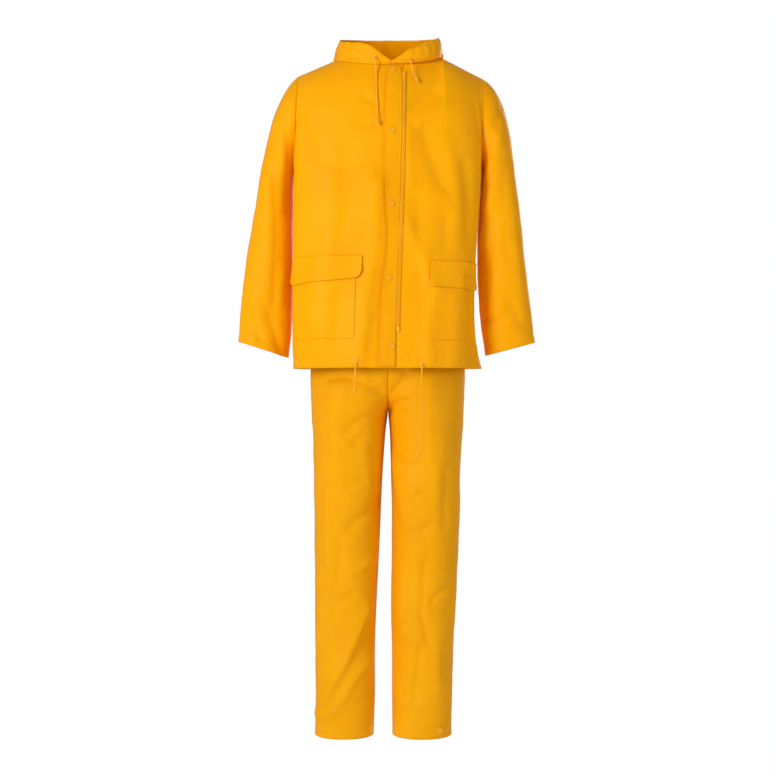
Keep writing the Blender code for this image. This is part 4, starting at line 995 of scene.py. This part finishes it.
bmesh.ops.translate(box, vec=(Vector(low) + Vector(high)) / 2, verts=box.verts[:])
box_piece = solid_object("zip_box_moulded", box, acetal)
for item in (tape, teeth_piece, box_piece):
    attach(item, "root")
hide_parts("zip")
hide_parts("zip_box")


# Snaps and eyelets
# Moulded nylon in the cloth's colour: snap caps with a raised rim and a hollow middle, down the
# flap and at the ankles, and plain rings where the cords come out.
SNAP_RADIUS = 0.0066
SNAP_HEIGHT = 0.0026
FLAP_SNAPS = 5
EYELET_RADIUS = 0.0058
EYELET_HOLE = 0.0019
EYELET_HEIGHT = 0.0014
SNAP_COLOUR = "#f7ab14"

# Nylon, moulded: satin, with a soft light on each rounded edge
nylon, tree, shader = new_material("moulded nylon")
coords = add_node(tree, "ShaderNodeTexCoord")
specks = add_node(tree, "ShaderNodeTexNoise", {"Scale": 700.0}, {"Vector": coords.outputs["Object"]})
satin = add_node(tree, "ShaderNodeMapRange", {"To Min": 0.28, "To Max": 0.42}, {"Value": specks.outputs["Fac"]})
tree.links.new(satin.outputs["Result"], shader.inputs["Roughness"])
shader.inputs["Base Color"].default_value = linear(SNAP_COLOUR)
shader.inputs["Specular IOR Level"].default_value = 0.35
shader.inputs["IOR"].default_value = 1.53


def turned(profile, steps):
    """A shape turned round Z from a profile of radius and height."""
    shape = bmesh.new()
    verts = [shape.verts.new((radius, 0.0, height)) for radius, height in profile]
    edges = [shape.edges.new(pair) for pair in zip(verts, verts[1:])]
    bmesh.ops.spin(shape, geom=verts + edges, axis=(0, 0, 1), cent=(0, 0, 0), angle=2 * math.pi, steps=steps,
                   use_merge=True)
    bmesh.ops.remove_doubles(shape, verts=shape.verts[:], dist=1e-6)
    return shape


SNAP_PROFILE = ((0.0, 0.0), (SNAP_RADIUS, 0.0), (SNAP_RADIUS, 0.0009), (SNAP_RADIUS * 0.93, 0.0018),
                (SNAP_RADIUS * 0.80, SNAP_HEIGHT), (SNAP_RADIUS * 0.66, SNAP_HEIGHT * 0.96),
                (SNAP_RADIUS * 0.52, 0.0017), (SNAP_RADIUS * 0.30, 0.0014), (0.0, 0.0015))
EYELET_PROFILE = ((EYELET_HOLE, 0.0), (EYELET_RADIUS, 0.0), (EYELET_RADIUS, 0.0005),
                  (EYELET_RADIUS * 0.86, 0.0011), (EYELET_RADIUS * 0.64, EYELET_HEIGHT),
                  (EYELET_HOLE + 0.0006, 0.0012), (EYELET_HOLE, 0.0008), (EYELET_HOLE, 0.0))


def place_turned(name, node, profile, point, normal):
    """A turned piece on the cloth, in place of its node."""
    shape = turned(profile, 32)
    bmesh.ops.transform(shape, matrix=aim(point, normal, Vector((1.0, 0.0, 0.0))), verts=shape.verts[:])
    piece = solid_object(name, shape, nylon, 60)
    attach(piece, "root")
    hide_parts(node)


def surface_under(tree, point, outward):
    """Where a line through this point meets a cloth sheet from outside, and the cloth's normal there."""
    place, normal, _, _ = tree.ray_cast(point + outward * 0.03, -outward)
    if normal.dot(outward) < 0:
        normal = -normal
    return place, normal


def cloth_tree(*names):
    """The faces of some cloth sheets, for laying other pieces on them."""
    verts = []
    faces = []
    for name in names:
        mesh = bpy.data.objects[name].data
        faces += [[at + len(verts) for at in face.vertices] for face in mesh.polygons]
        verts += [vert.co.copy() for vert in mesh.vertices]
    return BVHTree.FromPolygons(verts, faces)


flap_tree = cloth_tree("storm_flap_cloth")
fronts_tree = cloth_tree("front_right_cloth", "front_left_cloth")
hood_tree = cloth_tree("hood_cloth")
forward = Vector((0.0, -1.0, 0.0))
for number in range(1, FLAP_SNAPS + 1):
    low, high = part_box(f"snap_{number}")
    point, normal = surface_under(flap_tree, (Vector(low) + Vector(high)) / 2, forward)
    place_turned(f"snap_{number}_cap", f"snap_{number}", SNAP_PROFILE, point + normal * 0.0003, normal)
for place, tree_under in (("hood_right", hood_tree), ("hood_left", hood_tree),
                          ("hem_right", fronts_tree), ("hem_left", fronts_tree)):
    low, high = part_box("eyelet_" + place)
    point, normal = surface_under(tree_under, (Vector(low) + Vector(high)) / 2, forward)
    place_turned(f"eyelet_{place}_ring", "eyelet_" + place, EYELET_PROFILE, point + normal * 0.0003, normal)


# Pockets
# Patch pockets sewn on three sides, each under a flap sewn along its top, with rounded corners.
POCKET_GRID = (44, 48)
Pocket = namedtuple("Pocket", "name side inner outer top inner_bottom outer_bottom over corner")
POCKETS = (
    Pocket("pocket_patch_right", -1, 0.270, 0.755, -0.474, -0.643, -0.643, 0.0, 0.010),
    Pocket("pocket_flap_right", -1, 0.230, 0.771, -0.460, -0.508, -0.523, 1.0, 0.016),
    Pocket("pocket_patch_left", 1, 0.325, 0.786, -0.486, -0.645, -0.645, 0.0, 0.010),
    Pocket("pocket_flap_left", 1, 0.310, 0.818, -0.471, -0.527, -0.533, 1.0, 0.008),
)
POCKET_LAY = 0.0003
POCKET_WALL = 0.0006
FLAP_LIFT = 0.0035


def front_at(side, across, up):
    """The point of a front's sheet at these shares."""
    lines = front_lines[side]
    row = min(len(lines) - 2, max(0, int(up * (len(lines) - 1))))
    column = min(len(lines[0]) - 2, max(0, int(across * (len(lines[0]) - 1))))
    part_up = up * (len(lines) - 1) - row
    part_across = across * (len(lines[0]) - 1) - column
    low = lines[row][column].lerp(lines[row][column + 1], part_across)
    high = lines[row + 1][column].lerp(lines[row + 1][column + 1], part_across)
    return low.lerp(high, part_up)


def pocket_point(pocket, across, up):
    """A point of a pocket or its flap, from the front's points, moved out."""
    share = mix(pocket.inner, pocket.outer, across)
    bottom = mix(pocket.inner_bottom, pocket.outer_bottom, across)
    width = (pocket.outer - pocket.inner) * FRONT_SIZE[0]
    from_side = min(across, 1 - across) * width
    if from_side < pocket.corner:
        bottom += pocket.corner * (1 - math.sqrt(1 - (1 - from_side / pocket.corner) ** 2))
    z = mix(bottom, pocket.top, up)
    height = (z - HEM_Z) / (ARMPIT_Z - HEM_Z) * LOWER_SHARE
    point = front_at(pocket.side, share, height)
    beside = front_at(pocket.side, share + 0.03, height) - front_at(pocket.side, share - 0.03, height)
    above = front_at(pocket.side, share, height + 0.03) - front_at(pocket.side, share, height - 0.03)
    normal = beside.cross(above).normalized()
    if normal.y > 0:
        normal.negate()
    lift = POCKET_LAY + POCKET_WALL + pocket.over * (POCKET_WALL + 0.0010 + FLAP_LIFT * (1 - up) ** 2)
    return point + normal * lift


def pocket_height(pocket):
    """The sewn edge's dip, a little slack in the middle of a patch, and the flap's rounded top."""
    width = (pocket.outer - pocket.inner) * FRONT_SIZE[0]
    length = pocket.top - pocket.inner_bottom

    def height(place, normal, across, up):
        edge = min(across * width, (1 - across) * width, up * length if not pocket.over else 1.0)
        if pocket.over:
            rise = 0.0010 * math.exp(-((1 - up) * length / 0.006) ** 2)
            edge = min(edge, up * length)
        else:
            rise = 0.0022 * ease(up * 2.2) * ease((1 - up) * 3) * math.sin(across * math.pi)
        return rise - 0.0003 * math.exp(-((edge - 0.006) / 0.0016) ** 2) + 0.3 * wrinkle(place, 1.5)
    return height


for pocket in POCKETS:
    width = (pocket.outer - pocket.inner) * FRONT_SIZE[0]
    length = pocket.top - (pocket.inner_bottom + pocket.outer_bottom) / 2
    mesh, _ = lay_sheet(pocket.name, lambda u, v, p=pocket: pocket_point(p, u, v), POCKET_GRID, (width, length),
                        middle_line, pocket_height(pocket), (False, False, False, False))
    piece = hang_cloth(pocket.name + "_cloth", mesh, jacket_cloth, POCKET_WALL)
    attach(piece, "root")
    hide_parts(pocket.name)


# Trousers
# Two legs, each cut in one piece with its seam inside the leg, joined along the centre seam and
# gathered onto an elastic waistband. The hems are turned up and sewn once round.
WAIST_Z = -0.505
BAND_HEIGHT = 0.034
CROTCH_Z = -0.805
CROTCH_TOP_Z = -0.700
LEG_HEM_Z = -1.545
ROUND_LEG = 2.2
HIP_SHARE = 9 / 25
LEG_GRID = (120, 200)
LEG_SIZE = (0.560, 1.040)
LEG_HEM = 0.014
BAND_GRID = (288, 8)
BAND_GATHERS = 18
BAND_WAVE = 0.0016
TROUSER_COLOUR = "#f2a604"
TROUSER_SHADE = "#eda103"
Leg = namedtuple("Leg", "z outer inner front back")
LEGS = {
    -1: (
        Leg(-0.470, 0.1500, 0.0000, -0.106, 0.102),
        Leg(-0.505, 0.1520, 0.0000, -0.108, 0.105),
        Leg(-0.560, 0.1620, 0.0000, -0.114, 0.110),
        Leg(-0.640, 0.1730, 0.0000, -0.119, 0.116),
        Leg(-0.720, 0.1785, 0.0000, -0.121, 0.120),
        Leg(-0.805, 0.1755, 0.0003, -0.117, 0.118),
        Leg(-0.850, 0.1735, 0.0055, -0.112, 0.112),
        Leg(-0.950, 0.1700, 0.0125, -0.102, 0.100),
        Leg(-1.050, 0.1685, 0.0170, -0.093, 0.089),
        Leg(-1.150, 0.1680, 0.0215, -0.086, 0.082),
        Leg(-1.250, 0.1680, 0.0265, -0.081, 0.079),
        Leg(-1.350, 0.1665, 0.0300, -0.078, 0.077),
        Leg(-1.450, 0.1665, 0.0300, -0.074, 0.076),
        Leg(-1.545, 0.1675, 0.0330, -0.071, 0.074),
    ),
    1: (
        Leg(-0.470, 0.1480, 0.0000, -0.106, 0.102),
        Leg(-0.505, 0.1500, 0.0000, -0.108, 0.105),
        Leg(-0.560, 0.1600, 0.0000, -0.114, 0.110),
        Leg(-0.640, 0.1710, 0.0000, -0.119, 0.116),
        Leg(-0.720, 0.1765, 0.0000, -0.121, 0.120),
        Leg(-0.805, 0.1740, 0.0003, -0.117, 0.118),
        Leg(-0.850, 0.1710, 0.0040, -0.112, 0.112),
        Leg(-0.950, 0.1665, 0.0070, -0.102, 0.100),
        Leg(-1.050, 0.1645, 0.0092, -0.093, 0.089),
        Leg(-1.150, 0.1600, 0.0085, -0.086, 0.082),
        Leg(-1.250, 0.1555, 0.0070, -0.081, 0.079),
        Leg(-1.350, 0.1505, 0.0090, -0.078, 0.077),
        Leg(-1.450, 0.1475, 0.0092, -0.074, 0.076),
        Leg(-1.545, 0.1455, 0.0100, -0.071, 0.074),
    ),
}
LEG_CREASES = {
    -1: (
        Crease(((-0.128, -0.730), (-0.107, -0.725), (-0.089, -0.727), (-0.069, -0.734), (-0.042, -0.745),
                (-0.018, -0.759)), 0.010, -0.0080, 0.0, 1.5),
        Crease(((-0.095, -0.847), (-0.083, -0.842), (-0.069, -0.828), (-0.048, -0.818), (-0.018, -0.819)),
               0.009, -0.0060, 0.0, 1.5),
        Crease(((-0.079, -0.877), (-0.066, -0.865), (-0.057, -0.862)), 0.007, -0.0040, 0.0, 1.5),
        Crease(((-0.098, -0.877), (-0.082, -0.877)), 0.007, 0.0035, 0.0, 1.6),
        Crease(((-0.092, -0.968), (-0.078, -0.967), (-0.069, -0.961), (-0.054, -0.959)), 0.007, -0.0050, 0.0, 1.4),
        Crease(((-0.100, -0.985), (-0.070, -0.980), (-0.040, -0.985)), 0.012, 0.0030, 0.0, 1.8),
        Crease(((-0.139, -0.980), (-0.140, -1.060), (-0.139, -1.150)), 0.009, 0.0045, 0.4, 1.5),
        Crease(((-0.018, -1.005), (-0.036, -1.029), (-0.069, -1.049), (-0.087, -1.067)), 0.012, -0.0075, 0.0, 1.6),
        Crease(((-0.036, -1.138), (-0.060, -1.159), (-0.083, -1.169)), 0.010, 0.0065, 0.0, 1.5),
        Crease(((-0.125, -1.228), (-0.110, -1.233), (-0.080, -1.219)), 0.008, -0.0055, 0.0, 1.5),
        Crease(((-0.046, -1.250), (-0.058, -1.277), (-0.072, -1.317), (-0.095, -1.371), (-0.125, -1.427),
                (-0.149, -1.490)), 0.013, 0.0120, -0.35, 1.4),
        Crease(((-0.042, -1.368), (-0.078, -1.412), (-0.098, -1.451), (-0.141, -1.500)), 0.013, 0.0075, -0.2, 1.6),
        Crease(((-0.063, -1.457), (-0.034, -1.447)), 0.007, -0.0045, 0.0, 1.5),
        Crease(((-0.110, -0.760), (-0.120, -0.860), (-0.116, -0.940)), 0.022, 0.0045, 0.0, 1.9),
        Crease(((-0.050, -0.880), (-0.045, -0.960)), 0.012, 0.0030, 0.0, 1.8),
        Crease(((-0.105, -1.090), (-0.112, -1.190)), 0.014, -0.0040, 0.0, 1.8),
        Crease(((-0.145, -1.270), (-0.150, -1.360)), 0.012, -0.0040, 0.0, 1.8),
    ),
    1: (
        Crease(((0.003, -0.797), (0.018, -0.788), (0.030, -0.780), (0.045, -0.783)), 0.008, -0.0060, 0.0, 1.5),
        Crease(((0.042, -0.719), (0.027, -0.743), (0.009, -0.761)), 0.012, -0.0095, 0.2, 1.5),
        Crease(((0.016, -0.907), (0.033, -0.925), (0.063, -0.925)), 0.008, -0.0055, 0.0, 1.5),
        Crease(((0.030, -0.961), (0.042, -0.962), (0.063, -0.979), (0.057, -0.987), (0.033, -0.996)),
               0.007, 0.0060, 0.0, 1.5),
        Crease(((0.009, -0.910), (0.024, -0.996), (0.042, -1.074)), 0.010, 0.0055, 0.4, 1.5),
        Crease(((0.048, -1.074), (0.072, -1.077), (0.092, -1.062)), 0.009, -0.0065, 0.0, 1.5),
        Crease(((0.083, -1.144), (0.078, -1.174), (0.080, -1.213), (0.074, -1.257), (0.083, -1.293),
                (0.092, -1.335)), 0.010, -0.0042, 0.3, 1.5),
        Crease(((0.140, -1.195), (0.120, -1.213), (0.101, -1.228)), 0.008, -0.0055, 0.0, 1.5),
        Crease(((0.138, -1.236), (0.101, -1.238)), 0.006, -0.0035, 0.0, 1.5),
        Crease(((0.136, -1.260), (0.101, -1.260)), 0.007, -0.0045, 0.0, 1.5),
        Crease(((0.074, -1.335), (0.066, -1.383), (0.057, -1.457)), 0.011, -0.0045, 0.3, 1.6),
        Crease(((0.024, -1.460), (0.057, -1.469), (0.080, -1.466), (0.125, -1.469)), 0.008, 0.0050, 0.0, 1.5),
        Crease(((0.100, -0.760), (0.112, -0.870), (0.110, -0.990)), 0.022, 0.0045, 0.0, 1.9),
        Crease(((0.130, -0.940), (0.128, -1.060)), 0.012, -0.0040, 0.0, 1.8),
        Crease(((0.030, -1.180), (0.034, -1.300)), 0.014, 0.0045, 0.0, 1.8),
        Crease(((0.110, -1.330), (0.112, -1.430)), 0.013, 0.0040, 0.0, 1.8),
    ),
}
LEG_CREASES_BACK = (
    Crease(((0.020, -0.800), (0.052, -0.822), (0.090, -0.826)), 0.011, -0.0065, 0.0, 1.6),
    Crease(((0.018, -0.850), (0.050, -0.868), (0.082, -0.868)), 0.010, -0.0050, 0.0, 1.6),
    Crease(((0.060, -1.000), (0.090, -1.040), (0.130, -1.050)), 0.011, -0.0060, 0.0, 1.6),
    Crease(((0.036, -1.040), (0.070, -1.072), (0.120, -1.090)), 0.010, -0.0060, 0.0, 1.5),
    Crease(((0.050, -1.120), (0.080, -1.130), (0.126, -1.118)), 0.010, 0.0060, 0.0, 1.6),
    Crease(((0.100, -0.720), (0.108, -0.840), (0.100, -0.960)), 0.022, 0.0050, 0.0, 1.9),
    Crease(((0.050, -1.200), (0.070, -1.300), (0.110, -1.400)), 0.013, 0.0070, 0.2, 1.6),
    Crease(((0.120, -1.300), (0.090, -1.420), (0.070, -1.500)), 0.013, -0.0055, 0.0, 1.7),
    Crease(((0.030, -1.440), (0.080, -1.460), (0.130, -1.455)), 0.009, -0.0050, 0.0, 1.6),
)


def leg_section(side, z, round_share):
    """A point round a leg, or round half the hips: from the front seam or inseam, by the outside."""
    row = look_up(LEGS[side], z)
    fall = min(1.0, max(0.0, (CROTCH_TOP_Z - z) / (CROTCH_TOP_Z - CROTCH_Z)))
    open_half = (1 - fall ** 2) ** (ROUND_LEG / 2)
    shut = (1 - open_half) ** (1 / ROUND_LEG)
    half = row.outer / (1 + shut) if z > CROTCH_Z else (row.outer - row.inner) / 2
    end_turn = math.atan2(open_half ** (1 / ROUND_LEG), shut)
    sine, cosine = rounded(mix(end_turn, 2 * math.pi - end_turn, round_share), ROUND_LEG)
    x = side * (row.outer - half - half * cosine)
    return Vector((x, row.front * sine if sine > 0 else -row.back * sine, z))


def leg_point(side, round_share, up):
    """A point of a leg, cut in one piece from the waist to the hem."""
    down = 1 - up
    if down < HIP_SHARE:
        return leg_section(side, mix(WAIST_Z, CROTCH_Z, 1 - (1 - down / HIP_SHARE) ** 1.5), round_share)
    return leg_section(side, mix(CROTCH_Z, LEG_HEM_Z, (down - HIP_SHARE) / (1 - HIP_SHARE)), round_share)


def leg_height(place, normal, across, up):
    """Creases, unevenness and the sewn hem of a leg."""
    side = 1 if place.x > 0 else -1
    if normal.y < 0:
        rise = crease_height(LEG_CREASES[side], place.x, place.z)
    else:
        rise = crease_height(LEG_CREASES_BACK, abs(place.x), place.z + 0.012 * side)
    rise *= ease(abs(normal.y) / 0.45)
    return rise + wrinkle(place, 1.3) + stitched_fold(place.z - LEG_HEM_Z, LEG_HEM)


def leg_line(side):
    return lambda point: Vector((side * 0.088, 0.0, point.z))


def band_point(round_share, up):
    """A point of the waistband, gathered by its elastic in small waves."""
    side = 1 if round_share < 0.5 else -1
    share = 2 * round_share if side > 0 else 2 - 2 * round_share
    point = leg_section(side, mix(WAIST_Z, WAIST_Z + BAND_HEIGHT, up), share)
    wave = BAND_WAVE * math.cos(round_share * 2 * math.pi * BAND_GATHERS * 2) * mix(0.3, 1.0, up)
    return point + Vector((point.x, point.y, 0.0)).normalized() * wave


trouser_cloth = cloth_material("coated polyester trouser cloth", TROUSER_COLOUR, TROUSER_SHADE, 0.52, 0.4)
leg_lines = {}
for side, word in ((-1, "right"), (1, "left")):
    mesh, leg_lines[side] = lay_sheet("leg_" + word, lambda u, v, s=side: leg_point(s, u, v), LEG_GRID, LEG_SIZE,
                                      leg_line(side), leg_height, (True, True, False, True), 0.0)
    piece = hang_cloth(f"leg_{word}_cloth", mesh, trouser_cloth)
    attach(piece, "root")
    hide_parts("leg_" + word)
mesh, _ = lay_sheet("waistband", band_point, BAND_GRID, (0.85, BAND_HEIGHT), middle_line,
                    lambda place, normal, across, up: 0.0, (False, False, False, False))
piece = hang_cloth("waistband_cloth", mesh, trouser_cloth)
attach(piece, "root")
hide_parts("waistband")

legs_tree = cloth_tree("leg_right_cloth", "leg_left_cloth")
for word in ("right", "left"):
    low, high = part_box("snap_leg_" + word)
    middle = (Vector(low) + Vector(high)) / 2
    outward = (middle - leg_line(1 if word == "left" else -1)(middle)).normalized()
    point, normal = surface_under(legs_tree, middle, outward)
    place_turned(f"snap_leg_{word}_cap", "snap_leg_" + word, SNAP_PROFILE, point + normal * 0.0003, normal)


# Studio
# A pale floor and broad soft light, strongest from the viewer's left.
FLOOR_Z = -1.98
FLOOR_BACK = 1.2
FLOOR_HALF = 8.0
AMBIENT = 0.36
BACKDROP = 1.0
floor = bmesh.new()
bmesh.ops.create_grid(floor, x_segments=1, y_segments=1, size=FLOOR_HALF)
bmesh.ops.translate(floor, vec=(0.0, FLOOR_BACK - FLOOR_HALF, FLOOR_Z), verts=floor.verts[:])
paint, tree, shader = new_material("pale painted floor")
shader.inputs["Base Color"].default_value = linear("#fbfbfa")
shader.inputs["Roughness"].default_value = 0.9
shader.inputs["Specular IOR Level"].default_value = 0.1
floor_piece = solid_object("floor", floor, paint)

Lamp = namedtuple("Lamp", "name place aim width height power")
LAMPS = (
    Lamp("key", (-2.9, -3.6, 0.5), (0.0, 0.0, -0.7), 1.4, 2.2, 136.0),
    Lamp("fill", (3.6, -2.6, -0.2), (0.0, 0.0, -0.8), 1.8, 2.4, 34.0),
    Lamp("back", (1.2, 4.2, 0.6), (0.0, 0.0, -0.7), 2.4, 2.4, 120.0),
)
for lamp in LAMPS:
    data = bpy.data.lights.new(lamp.name, "AREA")
    data.shape = "RECTANGLE"
    data.size = lamp.width
    data.size_y = lamp.height
    data.energy = lamp.power
    item = bpy.data.objects.new(lamp.name, data)
    item.location = lamp.place
    item.rotation_euler = (Vector(lamp.aim) - Vector(lamp.place)).to_track_quat("-Z", "Y").to_euler()
    bpy.context.collection.objects.link(item)
world = bpy.data.worlds.new("white studio")
world.use_nodes = True
seen = add_node(world.node_tree, "ShaderNodeLightPath")
glow = add_node(world.node_tree, "ShaderNodeMapRange", {"To Min": AMBIENT, "To Max": BACKDROP},
                {"Value": seen.outputs["Is Camera Ray"]})
world.node_tree.links.new(glow.outputs["Result"], world.node_tree.nodes["Background"].inputs["Strength"])
world.node_tree.nodes["Background"].inputs["Color"].default_value = (1.0, 1.0, 1.0, 1.0)
bpy.context.scene.world = world
bpy.context.scene.view_settings.view_transform = "Standard"
